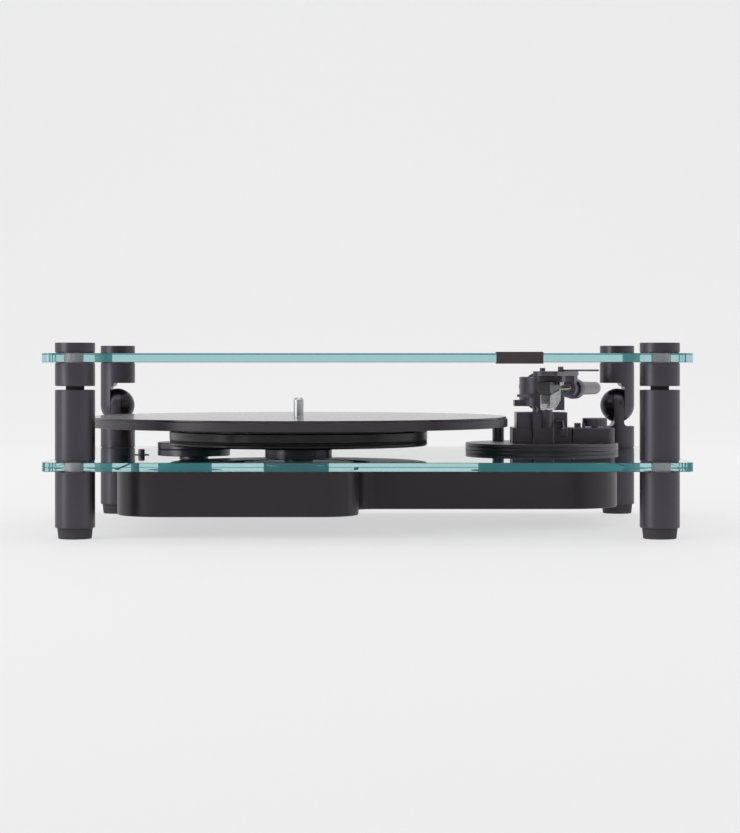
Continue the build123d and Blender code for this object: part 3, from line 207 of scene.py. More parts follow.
def surface(name, colour, metallic, roughness, grain=0.4, depth=0.012, spread=0.06, shade=0.25, **extra):
    """A Principled finish with a fine relief, and broad changes of roughness and colour.

    The grain's size and depth are in millimetres, and both are drawn a little coarse so that they show.
    """
    if name in bpy.data.materials:
        return bpy.data.materials[name]
    finish = bpy.data.materials.new(name)
    finish.use_nodes = True
    tree = finish.node_tree
    tree.nodes.clear()
    where = add(tree, "ShaderNodeTexCoord", {})
    spot = [("Vector", where.outputs["Object"])]
    fine = add(tree, "ShaderNodeTexNoise", {"Scale": 1000.0 / grain, "Detail": 3.0}, spot)
    broad = add(tree, "ShaderNodeTexNoise", {"Scale": BROAD_CELLS, "Detail": 4.0}, spot)
    rough = add(
        tree, "ShaderNodeMapRange", {"To Min": max(roughness - spread, 0.02), "To Max": roughness + spread},
        [("Value", broad.outputs["Fac"])],
    )
    base = linear(colour)
    dark = [c * (1 - shade) for c in base[:3]] + [1.0]
    light = [min(c * (1 + shade), 1.0) for c in base[:3]] + [1.0]
    tint = add(tree, "ShaderNodeMix", {"data_type": "RGBA"})
    tint.inputs[6].default_value = dark
    tint.inputs[7].default_value = light
    tree.links.new(broad.outputs["Fac"], tint.inputs[0])
    bump = add(
        tree, "ShaderNodeBump", {"Strength": 1.0, "Distance": depth * MM}, [("Height", fine.outputs["Fac"])],
    )
    settings = {"Metallic": metallic}
    settings.update(extra)
    shader = add(
        tree, "ShaderNodeBsdfPrincipled", settings,
        [("Base Color", tint.outputs[2]), ("Roughness", rough.outputs["Result"]), ("Normal", bump.outputs["Normal"])],
    )
    add(tree, "ShaderNodeOutputMaterial", {}, [("Surface", shader.outputs["BSDF"])])
    return finish


def plate_glass(name, colour, density, painted_glow_colour, glow):
    """Polished float glass: clear through its thickness, teal along its length because iron in it takes the red, with
    a painted teal glow in its volume that stands in for light trapped between its faces.
    """
    if name in bpy.data.materials:
        return bpy.data.materials[name]
    finish = bpy.data.materials.new(name)
    finish.use_nodes = True
    tree = finish.node_tree
    tree.nodes.clear()
    shader = add(
        tree, "ShaderNodeBsdfPrincipled",
        {"Base Color": (1, 1, 1, 1), "Roughness": 0.0, "IOR": 1.52, "Transmission Weight": 1.0},
    )
    iron = add(tree, "ShaderNodeVolumeAbsorption", {"Color": linear(colour), "Density": density})
    # Painted glow: the glass emits teal light of its own, standing in for light trapped between the two faces, and
    # lifts the dark parts of an edge to a deep teal.
    painted_glow = add(tree, "ShaderNodeEmission", {"Color": linear(painted_glow_colour), "Strength": glow})
    both = add(tree, "ShaderNodeAddShader", {})
    tree.links.new(iron.outputs["Volume"], both.inputs[0])
    tree.links.new(painted_glow.outputs["Emission"], both.inputs[1])
    add(
        tree, "ShaderNodeOutputMaterial", {},
        [("Surface", shader.outputs["BSDF"]), ("Volume", both.outputs["Shader"])],
    )
    return finish


def lit_table(name, colour, glow):
    """Opal acrylic sweep lit from below and behind: matt, with shallow shadows."""
    light = {"Emission Color": (1.0, 1.0, 1.0, 1.0), "Emission Strength": glow}
    return surface(name, colour, 0.0, 0.85, grain=1.2, depth=0.004, spread=0.03, shade=0.004, **light)


# ---- settings
class PostSettings(bpy.types.PropertyGroup):
    colour: StringProperty(
        name="Tube colour", description="Anodised colour of the posts, as sRGB hex", default="#56525a",
    )
    rim: FloatProperty(
        name="Rim", description="Radius of the turned rims", default=0.5 * MM, min=0.1 * MM, unit="LENGTH",
    )
    steps: IntProperty(name="Steps", description="Faces round a turned piece", default=128, min=32, max=256)


class GlassSettings(bpy.types.PropertyGroup):
    colour: StringProperty(
        name="Body colour", description="What the glass lets through along its length, as sRGB hex",
        default="#2e979b",
    )
    # Colour of the painted glow that stands in for light trapped in the glass.
    painted_glow_colour: StringProperty(
        name="Trapped light colour", description="Colour of the light trapped in the glass, as sRGB hex",
        default="#30f2ff",
    )
    # Strength of that painted glow, per metre of glass.
    glow: FloatProperty(
        name="Trapped light", description="Strength of the light trapped in the glass, per metre",
        default=0.6, min=0.0,
    )
    # Colour of the sleeves in the deck's openings: painted refraction, standing in for the deep teal the glass edge
    # shows round them.
    painted_refraction_teal: StringProperty(
        name="Edging colour", description="Silicone round the openings in the deck, as sRGB hex", default="#58ccd2",
    )
    density: FloatProperty(
        name="Density", description="Strength of the teal along the glass", default=2.9, min=0.0,
    )
    corner: FloatProperty(
        name="Corner", description="Radius of the plate corners", default=10 * MM, min=1 * MM, unit="LENGTH",
    )
    arris: FloatProperty(
        name="Arris", description="Width of the polished chamfer", default=0.3 * MM, min=0.1 * MM, unit="LENGTH",
    )


class PlatterSettings(bpy.types.PropertyGroup):
    colour: StringProperty(
        name="Platter colour", description="Painted colour of the platter, as sRGB hex", default="#38333a",
    )
    mat_colour: StringProperty(
        name="Mat colour", description="Colour of the rubber mat, as sRGB hex", default="#2a282c",
    )
    sub_colour: StringProperty(
        name="Sub-platter colour", description="Colour of the turned sub-platter, as sRGB hex", default="#1a171b",
    )


class HousingSettings(bpy.types.PropertyGroup):
    colour: StringProperty(
        name="Housing colour", description="Painted colour of the housing, as sRGB hex", default="#251d24",
    )
    lip: FloatProperty(
        name="Lower rim", description="Radius of the housing's lower rim", default=1.0 * MM, min=0.1 * MM,
        unit="LENGTH",
    )


class ArmSettings(bpy.types.PropertyGroup):
    colour: StringProperty(
        name="Arm colour", description="Anodised colour of the tonearm parts, as sRGB hex", default="#5c5961",
    )
    tube_colour: StringProperty(
        name="Tube colour", description="Colour of the arm tube, as sRGB hex", default="#7a767d",
    )
    guard_colour: StringProperty(
        name="Guard colour", description="Colour of the clear stylus guard, as sRGB hex", default="#f2f4f6",
    )


class StudioSettings(bpy.types.PropertyGroup):
    table: StringProperty(
        name="Table colour", description="Colour of the opal table and backdrop, as sRGB hex", default="#828282",
    )
    glow: FloatProperty(
        name="Table light", description="Strength of the light that comes through the table and backdrop",
        default=0.6, min=0.0,
    )
    world: FloatProperty(
        name="Ambient", description="Strength of the light from the sides, the back and above",
        default=0.76, min=0.0,
    )
    front: FloatProperty(
        name="Front ambient", description="Strength of the light from the dark front of the studio",
        default=0.25, min=0.0,
    )
    key: FloatProperty(
        name="Key light", description="Power of the tall soft light at the left, in watts", default=12.0, min=0.0,
    )
    overhead: FloatProperty(
        name="Overhead light", description="Power of the wide soft light above, in watts", default=9.5, min=0.0,
    )
    wash: FloatProperty(
        name="Wall light", description="Power of the light on the backdrop, in watts", default=30.0, min=0.0,
    )
    distance: FloatProperty(
        name="Camera distance", description="From the middle of the player to the camera", default=1.686, min=0.5,
        unit="LENGTH",
    )
    lens: FloatProperty(
        name="Lens", description="Focal length in millimetres on a 36 mm high sensor", default=101.65, min=20.0,
    )


def anodised(settings):
    """Anodised aluminium, bead blasted first: a dark dyed oxide with a soft sheen and a barely seen sparkle."""
    return surface(
        "aluminium_anodised_anthracite", settings.colour, 0.9, 0.36,
        grain=0.5, depth=0.006, spread=0.03, shade=0.05,
    )


def black_anodised():
    """Turned aluminium under a black oxide: dark, with a faint violet sheen."""
    return surface("aluminium_anodised_black", "#66626a", 0.85, 0.36, grain=0.5, depth=0.006, shade=0.08)


def zinc_plated():
    """Zinc-plated steel: pale grey, with a soft bright sheen."""
    return surface("steel_zinc_plated", "#9d9ea3", 1.0, 0.34, grain=0.5)


def ground_steel():
    """Hardened steel, ground and polished: small sharp highlights."""
    return surface("steel_ground_polished", "#c9cacd", 1.0, 0.16, grain=0.4, depth=0.003, shade=0.04)


# ---- posts
def post_centres(node):
    """Centres of the four or two round parts of a node, and their radius."""
    low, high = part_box(node)
    radius = (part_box("front_upper_tubes")[1].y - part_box("front_upper_tubes")[0].y) / 2
    xs = (low.x + radius, high.x - radius)
    ys = (low.y + radius, high.y - radius) if high.y - low.y > 4 * radius else ((low.y + high.y) / 2,)
    return [(x, y) for x in xs for y in ys], radius


def tube_profile(radius, low, high, bore=4.4 * MM):
    """Closed profile of a tube between two heights, bored for the rod that clamps the post."""
    return [(bore, low), (radius, low), (radius, high), (bore, high)]


class OBJECT_OT_record_player_posts(bpy.types.Operator):
    """Make the four turned posts with their feet, collars and caps"""
    bl_idname = "object.record_player_posts"
    bl_label = "Posts"

    def execute(self, context):
        settings = context.scene.player_posts
        finish = anodised(settings)
        # Moulded rubber: matt and grey-black, a little paler in patches.
        rubber = surface("rubber_moulded_black", "#3a373b", 0.0, 0.72, grain=0.7, depth=0.02, shade=0.15)
        sections = {
            "lower_tubes": ("base", settings.rim), "front_upper_tubes": ("base", settings.rim),
            "lid_collars": ("lid", settings.rim), "lid_caps": ("lid", 0.8 * settings.rim),
        }
        for node, (body, rim) in sections.items():
            centres, radius = post_centres(node)
            low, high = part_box(node)
            hollow = node != "lid_caps"
            if hollow:
                profile = tube_profile(radius, low.z, high.z)
            else:
                profile = [(0, low.z), (radius, low.z), (radius, high.z), (0, high.z)]
            parts = [turn(profile, c, settings.steps, hollow, rim) for c in centres]
            piece(join(*parts), "turned_" + node, body, finish, (node,))
        low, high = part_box("rubber_feet")
        centres, radius = post_centres("lower_tubes")
        # A foot is narrower than its tube, and tapers to the floor.
        top = radius - 1.5 * MM
        bottom = top - 0.75 * MM
        profile = [(0, 0), (bottom, 0), (top, high.z), (0, high.z)]
        feet = [turn(profile, c, settings.steps, False, 0.6 * MM) for c in centres]
        piece(join(*feet), "moulded_feet", "base", rubber, ("rubber_feet",))
        low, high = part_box("lid_bumpers")
        side = (high.y - low.y) / 2
        centres = [(low.x + side, low.y + side), (high.x - side, low.y + side)]
        waist = side - 1.2 * MM
        middle = (low.z + high.z) / 2
        profile = [
            (0, low.z), (side, low.z), (side, middle), (waist, middle + 0.8 * MM), (waist, high.z), (0, high.z),
        ]
        stops = [turn(profile, c, settings.steps, False, 0.3 * MM) for c in centres]
        piece(join(*stops), "moulded_lid_stops", "base", rubber, ("lid_bumpers",))
        # Turned aluminium left bare inside the glass: pale, its shine hazed by the bonding round it.
        silver = surface("aluminium_turned_bright", "#efedef", 0.3, 0.5, grain=0.6, depth=0.01, shade=0.05)
        for node in ("deck_bushes", "lid_bushes"):
            coat(node, silver)
        # Thin rubber rings between metal and glass: mid-grey and satin.
        rings = surface("rubber_translucent_ring", "#55575b", 0.0, 0.5, grain=0.8)
        for node in ("deck_gaskets", "lid_gaskets"):
            coat(node, rings)
        for node in ("tie_rods", "lid_studs", "hinge_pins"):
            coat(node, zinc_plated())
        return {"FINISHED"}


def ball_half(radius, cut, count=24):
    """The part of a ball above a flat cut, as a profile turned round an upright line."""
    start = math.asin(cut / radius)
    angles = [start + (math.pi / 2 - start) * i / count for i in range(count + 1)]
    return [(0, cut)] + [(radius * math.cos(a), radius * math.sin(a)) for a in angles[:-1]] + [(0, radius)]


class OBJECT_OT_record_player_hinges(bpy.types.Operator):
    """Finish the two rear hinges and turn their domed caps"""
    bl_idname = "object.record_player_hinges"
    bl_label = "Lid hinges"

    def execute(self, context):
        settings = context.scene.player_posts
        finish = anodised(settings)
        coat("hinge_posts", finish)
        coat("hinge_arms", finish)
        # Turned nylon: black and satin.
        coat("hinge_washers", surface("nylon_turned_black", "#1d1c1e", 0.0, 0.5))
        # The same oxide as the posts, on metal polished first: it mirrors the lights.
        polished = surface("aluminium_anodised_polished", "#35323a", 0.75, 0.24, grain=0.5, depth=0.004, shade=0.08)
        low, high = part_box("hinge_domes")
        # The ball is a little larger than its flat side, which is cut across it.
        ball = (high.z - low.z) / 2 + 0.48 * MM
        middle_y, middle_z = (low.y + high.y) / 2, (low.z + high.z) / 2
        domes = []
        for side in (-1, 1):
            post_x = side * (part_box("hinge_posts")[1].x - post_centres("lower_tubes")[1])
            cut = abs(post_x) - abs(high.x)
            centre = (post_x, middle_y, middle_z)
            domes.append(turn(ball_half(ball, cut), centre, settings.steps, False, 0.25 * MM, (-side, 0, 0)))
        piece(join(*domes), "turned_hinge_domes", "base", polished, ("hinge_domes",))
        return {"FINISHED"}


# ---- glass
def plate(low, high, settings, holes):
    """A glass plate with rounded corners, polished arrises and round holes at (x, y, radius)."""
    bm = bmesh.new()
    corner = settings.corner
    corners = [(x, y, corner) for x, y in ((low.x, low.y), (high.x, low.y), (high.x, high.y), (low.x, high.y))]
    outline_face(bm, corners, low.z)
    raise_face(bm, bm.faces[:], high.z - low.z)
    bmesh.ops.recalc_face_normals(bm, faces=bm.faces)
    rims = [
        e for e in bm.edges
        if len(e.link_faces) == 2 and abs(e.verts[0].co.z - e.verts[1].co.z) < 1e-7
    ]
    bmesh.ops.bevel(
        bm, geom=rims, offset=settings.arris, offset_type="OFFSET", segments=1, profile=0.5,
        affect="EDGES", material=-1,
    )
    flats = [f for f in bm.faces if abs(f.normal.z) > 0.99]
    loops = {0: [], 1: []}
    for face in flats:
        loops[int(face.normal.z > 0)] += list(face.edges)
    bmesh.ops.delete(bm, geom=flats, context="FACES_ONLY")
    walls = []
    for x, y, radius in holes:
        rings = []
        for level, z in ((0, low.z), (1, high.z)):
            made = bmesh.ops.create_circle(
                bm, cap_ends=False, segments=64, radius=radius, matrix=Matrix.Translation((x, y, z)),
            )
            ring = list({e for v in made["verts"] for e in v.link_edges})
            rings += ring
            loops[level] += ring
        walls.append(rings)
    for level in (0, 1):
        bmesh.ops.triangle_fill(bm, use_beauty=True, use_dissolve=False, edges=loops[level])
    for rings in walls:
        bmesh.ops.bridge_loops(bm, edges=rings)
    return bm


class OBJECT_OT_record_player_glass(bpy.types.Operator):
    """Make the glass deck and the glass lid"""
    bl_idname = "object.record_player_glass"
    bl_label = "Glass deck and lid"

    def execute(self, context):
        settings = context.scene.player_glass
        # The glass carries a painted teal glow in its volume.
        glass = plate_glass(
            "float_glass_polished", settings.colour, settings.density, settings.painted_glow_colour, settings.glow,
        )
        # A bush is bonded 0.1 mm into the glass round it.
        bush_radius = 6.45 * MM
        bush_hole = 6.35 * MM
        low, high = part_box("deck_bushes")
        bushes = [
            (x, y, bush_hole)
            for x in (low.x + bush_radius, high.x - bush_radius)
            for y in (low.y + bush_radius, high.y - bush_radius)
        ]
        # Openings under the round parts on the deck, as shares of their widths.
        shares = {"motor_puck": 0.35, "bearing_housing": 0.47, "speed_button": 0.6, "armboard": 0.45}
        openings = []
        for node, share in shares.items():
            low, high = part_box(node)
            openings.append(((low.x + high.x) / 2, (low.y + high.y) / 2, share * (high.x - low.x)))
        deck_low, deck_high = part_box("glass_deck")
        bite, lip, thickness = 0.1 * MM, 0.1 * MM, 0.6 * MM
        sleeves = []
        for x, y, radius in openings:
            profile = [
                (radius - thickness, deck_low.z + lip), (radius + bite, deck_low.z + lip),
                (radius + bite, deck_high.z - lip), (radius - thickness, deck_high.z - lip),
            ]
            sleeves.append(turn(profile, (x, y), 128, True))
        # Teal sleeves lining the openings: their colour and faint glow are painted refraction, standing in for the
        # deep teal the glass edge shows where dark parts sit over it.
        painted_refraction_teal = surface(
            "silicone_extruded_teal", settings.painted_refraction_teal, 0.0, 0.6, grain=0.8, depth=0.004, shade=0.1,
            **{"Emission Color": linear(settings.painted_refraction_teal), "Emission Strength": 0.03},
        )
        piece(join(*sleeves), "hole_sleeves_painted_refraction", "base", painted_refraction_teal, ())
        deck = plate(deck_low, deck_high, settings, bushes + openings)
        piece(deck, "glass_deck_plate", "base", glass, ("glass_deck",), 12.0)
        lid = plate(*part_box("glass_lid"), settings, bushes)
        piece(lid, "glass_lid_plate", "lid", glass, ("glass_lid",), 12.0)
        # Moulded grip: dark brown-black and satin.
        coat("lid_handle", surface("abs_moulded_dark_brown", "#3b3235", 0.0, 0.38, grain=0.6, depth=0.008, shade=0.1))
        return {"FINISHED"}


# ---- housing
class OBJECT_OT_record_player_housing(bpy.types.Operator):
    """Make the two-lobed housing under the deck and finish what it holds"""
    bl_idname = "object.record_player_housing"
    bl_label = "Housing"

    def execute(self, context):
        settings = context.scene.player_housing
        low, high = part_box("base_housing")
        wall = 3 * MM
        # The front lobe ends at step_x, and the rear lobe's front is at front_right.
        step_x, front_right = -6 * MM, -39 * MM
        corners = [
            (low.x, low.y, 32 * MM), (step_x, low.y, 26 * MM), (step_x, front_right, 12 * MM),
            (high.x, front_right, 38 * MM), (high.x, high.y, 45 * MM), (low.x, high.y, 24 * MM),
        ]
        bm = bmesh.new()
        outline_face(bm, corners, low.z)
        bmesh.ops.inset_region(bm, faces=bm.faces[:], thickness=wall, use_even_offset=True, use_boundary=True)
        inner = max(bm.faces, key=lambda f: f.calc_area())
        bmesh.ops.delete(bm, geom=[inner], context="FACES")
        raise_face(bm, bm.faces[:], high.z - low.z)
        bmesh.ops.recalc_face_normals(bm, faces=bm.faces)

        def at_bottom(edge):
            return all(abs(vert.co.z - low.z) < 1e-6 for vert in edge.verts)

        round_edges(bm, settings.lip, 4, 60.0, at_bottom)
        # Sheet aluminium with a satin powder coat, very dark with a brown cast.
        paint = surface("powder_coat_satin_black", settings.colour, 0.0, 0.36, grain=0.7, depth=0.010, shade=0.06)
        piece(bm, "bent_housing", "base", paint, ("base_housing",))
        # Pressed sheet with a fine-textured powder coat: duller than the housing.
        cover = surface("powder_coat_fine_black", "#2c2a2d", 0.0, 0.5, grain=0.7, depth=0.012, shade=0.08)
        coat("bottom_cover", cover)
        for node in ("cover_screws", "motor"):
            coat(node, zinc_plated())
        # Glass-fibre laminate under a green solder mask: satin.
        coat("circuit_board", surface("laminate_solder_mask_green", "#1f5a35", 0.0, 0.35))
        # Turned brass, gold plated: warm and bright.
        gold = surface("brass_gold_plated", "#d8b568", 1.0, 0.2, grain=0.5, depth=0.005, shade=0.05)
        coat("phono_jacks", gold)
        # Moulded nylon: black, between satin and matt.
        coat("power_socket", surface("nylon_moulded_black", "#202022", 0.0, 0.45))
        return {"FINISHED"}


# ---- platter and drive
class OBJECT_OT_record_player_platter(bpy.types.Operator):
    """Turn the platter, its mat, the sub-platter, the spindle and the motor drive"""
    bl_idname = "object.record_player_platter"
    bl_label = "Platter and drive"

    def execute(self, context):
        settings = context.scene.player_platter
        steps = 256
        low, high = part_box("platter")
        centre = ((low.x + high.x) / 2, (low.y + high.y) / 2)
        radius = (high.x - low.x) / 2
        bore = 4.04 * MM
        # Cast aluminium, turned and painted: a satin dark grey.
        paint = surface("aluminium_painted_satin", settings.colour, 0.1, 0.33, grain=0.6, depth=0.006, shade=0.05)
        profile = [(bore, low.z), (radius, low.z), (radius, high.z), (bore, high.z)]
        disc = turn(profile, centre, steps, True, 0.45 * MM)
        piece(disc, "turned_platter", "platter_set", paint, ("platter",))
        mat_low, mat_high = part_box("slip_mat")
        mat_radius = (mat_high.x - mat_low.x) / 2
        # Calendered rubber: its smooth dark skin mirrors the pale backdrop at a grazing angle.
        rubber = surface(
            "rubber_mat_calendered", settings.mat_colour, 0.0, 0.13,
            grain=0.9, depth=0.002, spread=0.012, shade=0.06, **{"Sheen Weight": 0.25, "Sheen Roughness": 0.3},
        )
        profile = [(bore, mat_low.z), (mat_radius, mat_low.z), (mat_radius, mat_high.z), (bore, mat_high.z)]
        mat = turn(profile, centre, steps, True, 0.3 * MM)
        piece(mat, "pressed_mat", "platter_set", rubber, ("slip_mat",))
        sub_low, sub_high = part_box("sub_platter")
        sub = (sub_high.x - sub_low.x) / 2
        bottom = sub_low.z
        rim_top = bottom + 10.3 * MM
        boss, shaft = 85 * MM, 5.04 * MM
        # A ring is hollowed out underneath, and the belt runs in a groove in the rim.
        hollow_in, hollow_out, ceiling = 39.5 * MM, 52 * MM, bottom + 3 * MM
        groove, groove_floor = bottom + 3.3 * MM, sub - 1.4 * MM
        # Turned acetal: dark and satin, with lighter lines where its edges are broken.
        acetal = surface("acetal_turned_black", settings.sub_colour, 0.0, 0.3, grain=0.5, depth=0.006, shade=0.06)
        profile = [
            (shaft, bottom), (hollow_in, bottom), (hollow_in, ceiling), (hollow_out, ceiling),
            (hollow_out, bottom), (sub - 0.9 * MM, bottom), (sub, bottom + 0.9 * MM), (sub, groove - 1.2 * MM),
            (groove_floor, groove - 0.7 * MM), (groove_floor, groove + 0.7 * MM), (sub, groove + 1.2 * MM),
            (sub, rim_top - 0.5 * MM), (sub - 0.5 * MM, rim_top), (boss, rim_top),
            (boss, sub_high.z), (shaft, sub_high.z),
        ]
        hub = turn(profile, centre, steps, True)
        piece(hub, "turned_sub_platter", "platter_set", acetal, ("sub_platter",))
        pin_low, pin_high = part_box("spindle")
        # The shaft in the bearing, the seat in the platter, and the thinner pin that a record goes on.
        thick, seat, pin, tip = 5 * MM, 4 * MM, 3.6 * MM, 2.5 * MM
        top = low.z - 0.2 * MM
        profile = [
            (0, pin_low.z), (thick, pin_low.z), (thick, top), (seat, top), (seat, mat_high.z), (pin, mat_high.z),
            (pin, pin_high.z - 1.6 * MM), (tip, pin_high.z), (0, pin_high.z),
        ]
        shank = turn(profile, centre, 96, False, 0.25 * MM)
        piece(shank, "turned_spindle", "platter_set", ground_steel(), ("spindle",))
        dark = black_anodised()
        for node in ("bearing_housing", "bearing_nut", "motor_pulley", "speed_button", "button_collar"):
            coat(node, dark)
        # Sintered bronze: brown-gold, dulled by its pores.
        coat("bearing_bush", surface("bronze_sintered", "#9a7a4a", 1.0, 0.4, grain=0.4))
        coat("thrust_ball", ground_steel())
        # Ground rubber: black and matt.
        coat("drive_belt", surface("rubber_ground_belt", "#141315", 0.0, 0.6))
        low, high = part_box("motor_puck")
        puck, well = (high.x - low.x) / 2, 10.4 * MM
        motor = ((low.x + high.x) / 2, (low.y + high.y) / 2)
        profile = [(well, low.z), (puck, low.z), (puck, high.z), (well, high.z)]
        cover = turn(profile, motor, 128, True, 0.5 * MM)
        piece(cover, "turned_motor_cover", "base", dark, ("motor_puck",))
        return {"FINISHED"}


# ---- tonearm
# The four leads: colour name, colour, and how far right of and above the middle of the pins each one starts.
LEADS = (
    ("red", "#b0202c", -1.5, 1.5), ("white", "#d9d6d2", 1.5, 1.5),
    ("green", "#2f6a4a", -1.5, -1.5), ("blue", "#2c4380", 1.5, -1.5),
)
# A side of the stylus guard, as (forwards, height) points in millimetres.
GUARD_CHEEK = ((2.5, 94.5), (2.5, 86.7), (0.7, 84.9), (-5, 85.2), (-17.5, 91.1), (-17.5, 98.0))


def head_place():
    """From the headshell's own frame, forwards, to the right and up from under the needle, to the player's."""
    return Matrix.Translation((*NEEDLE, 0)) @ Matrix.Rotation(math.radians(HEAD_TURN), 4, "Z")


def slab(outline, near, far, soften=0.0, segments=2):
    """A flat solid between two distances to the right, from (forwards, height) points in millimetres."""
    bm = bmesh.new()
    bm.faces.new([bm.verts.new((x * MM, near * MM, z * MM)) for x, z in outline])
    made = bmesh.ops.extrude_face_region(bm, geom=bm.faces[:], use_keep_orig=True)
    moved = [v for v in made["geom"] if isinstance(v, bmesh.types.BMVert)]
    bmesh.ops.translate(bm, vec=(0, (far - near) * MM, 0), verts=moved)
    bmesh.ops.recalc_face_normals(bm, faces=bm.faces)
    if soften:
        round_edges(bm, soften * MM, segments)
    return bm


def sheet_part(corners, floor, height, soften):
    """A flat solid from rounded corners in millimetres, lying level."""
    bm = bmesh.new()
    outline_face(bm, [(x * MM, y * MM, r * MM) for x, y, r in corners], floor * MM)
    raise_face(bm, bm.faces[:], height * MM)
    bmesh.ops.recalc_face_normals(bm, faces=bm.faces)
    round_edges(bm, soften * MM, 3, 50.0)
    return bm


def placed(place, *parts):
    """Joins parts made in the headshell's frame and puts them in the player's."""
    whole = join(*parts)
    bmesh.ops.transform(whole, matrix=place, verts=whole.verts)
    return whole


def swept_tube(axis, back):
    """The bent arm tube, from the bearing block to the collar, with the turned ferrule behind the collar."""
    radius, bend = 4.3 * MM, 30 * MM
    pivot = Vector((*PIVOT, axis.z))
    corner = axis + back * (110 * MM)
    out = (corner - pivot).normalized()
    turn_angle = out.angle(-back)
    run = bend * math.tan(turn_angle / 2)
    start, first, last = pivot + out * 4 * MM, corner - out * run, axis + back * 53.4 * MM
    inward = (-back - out * out.dot(-back)).normalized()
    bm = bmesh.new()
    stand = Matrix.Translation(start) @ Vector((0, 0, 1)).rotation_difference(out).to_matrix().to_4x4()
    bmesh.ops.create_circle(bm, cap_ends=False, segments=48, radius=radius, matrix=stand)
    ring = bm.edges[:]
    made = bmesh.ops.extrude_edge_only(bm, edges=ring)["geom"]
    bmesh.ops.translate(bm, vec=first - start, verts=[v for v in made if isinstance(v, bmesh.types.BMVert)])
    ring = [e for e in made if isinstance(e, bmesh.types.BMEdge)]
    made = bmesh.ops.spin(
        bm, geom=ring, cent=first + inward * bend, axis=out.cross(inward), angle=turn_angle, steps=18,
        use_merge=False,
    )["geom_last"]
    ring = [e for e in made if isinstance(e, bmesh.types.BMEdge)]
    made = bmesh.ops.extrude_edge_only(bm, edges=ring)["geom"]
    final = [v for v in made if isinstance(v, bmesh.types.BMVert)]
    middle = sum((v.co for v in final), Vector()) / len(final)
    bmesh.ops.translate(bm, vec=last - middle, verts=final)
    bmesh.ops.holes_fill(bm, edges=[e for e in bm.edges if e.is_boundary], sides=64)
    bore, length = radius - 0.2 * MM, 5.9 * MM
    profile = [(bore, 0), (COLLAR_RADIUS, 0), (5.0 * MM, length), (bore, length)]
    ferrule = turn(profile, axis + back * 60.9 * MM, 96, True, 0.25 * MM, back)
    return join(bm, ferrule)


def headshell_mesh(place):
    """The headshell: a thin plate with a round nose, its finger lift and the socket block behind."""
    plate_corners = (
        (11, 8.5, 8.4), (11, -8.5, 8.4), (-40.6, -8.5, 3), (-48.6, -5, 2), (-52.6, -5, 0.6), (-52.6, 5, 0.6),
        (-48.6, 5, 2), (-40.6, 8.5, 3),
    )
    body = sheet_part(plate_corners, 107.2, 3.2, 0.45)
    neck = block((8 * MM, 8.6 * MM, 6.5 * MM), (-48.6 * MM, 0, 104.2 * MM), 0.5 * MM)
    socket_profile = [(0, 0), (5.4 * MM, 0), (5.4 * MM, 8 * MM), (0, 8 * MM)]
    socket = turn(socket_profile, (-44.6 * MM, 0, TUBE_HEIGHT * MM), 64, False, 0.5 * MM, (-1, 0, 0))
    finger_corners = ((-11.3, 4.6, 1.2), (-7.7, 4.6, 1.2), (-8.1, 32.8, 1.3), (-10.9, 32.8, 1.3))
    finger = sheet_part(finger_corners, 110.4, 1.2, 0.3)
    return placed(place, body, neck, socket, finger)


def cartridge_mesh(place):
    """The cartridge: a mounting flange, a wedge-shaped body, the needle holder and the needle."""
    flange = sheet_part(((-4.5, 8.5, 2), (-4.5, -8.5, 2), (-14.5, -8.5, 2), (-14.5, 8.5, 2)), 103.4, 3.78, 0.35)
    side = ((7, 103.6), (7, 97.5), (4.5, 95), (-17, 99.2), (-17, 103.6))
    body = slab(side, -4.2, 4.2, 0.5, 3)
    holder = slab(((-1, 96.5), (-1, 88.8), (-10, 88.8), (-10, 98.5)), -2.2, 2.2, 0.4, 3)
    thin, reach, rake = 0.34 * MM, 10 * MM, math.radians(19)
    needle = turn(
        [(0, 0), (thin, 0), (thin, reach), (0, reach)], (0, 0, 86.35 * MM), 16, False, 0.0,
        (-math.cos(rake), 0, math.sin(rake)),
    )
    # The upper two pins: the leads' ends cover the lower two.
    pin = [(0, 0), (0.35 * MM, 0), (0.35 * MM, 1.2 * MM), (0, 1.2 * MM)]
    pins = [
        turn(pin, (-16.8 * MM, across * MM, (97.3 + up) * MM), 16, False, 0.0, (-1, 0, 0))
        for _, _, across, up in LEADS if up > 0
    ]
    return placed(place, flange, body, holder, needle, *pins)


def guard_mesh(place):
    """The clear guard over the needle: two cheeks and a bent front wall."""
    front = (
        (2.5, 94.4), (2.5, 86.7), (0.7, 84.9), (-5, 85.2), (-5, 85.9), (0.4, 85.6), (1.8, 87.0), (1.8, 94.4),
    )
    return placed(place, slab(GUARD_CHEEK, -3.8, -3.1, 0.2), slab(GUARD_CHEEK, 3.1, 3.8, 0.2), slab(front, -3.1, 3.1))


def wire(place, name, finish, route, radius, kind, body, node, slot):
    """A round wire, or a thin line of painted highlight, along points in the headshell's frame, in millimetres."""
    data = bpy.data.curves.new(name, "CURVE")
    data.dimensions = "3D"
    data.bevel_depth = radius * MM
    data.bevel_resolution = 3
    spline = data.splines.new(kind)
    spline.points.add(len(route) - 1)
    for point, (x, y, z) in zip(spline.points, route):
        point.co = (*(place @ Vector((x * MM, y * MM, z * MM))), 1.0)
    if kind == "NURBS":
        data.use_fill_caps = True
        spline.order_u = 4
        spline.use_endpoint_u = True
    else:
        spline.use_cyclic_u = True
    data.materials.append(finish)
    obj = bpy.data.objects.new(name, data)
    bpy.context.scene.collection.objects.link(obj)
    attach(obj, body)
    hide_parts(node)


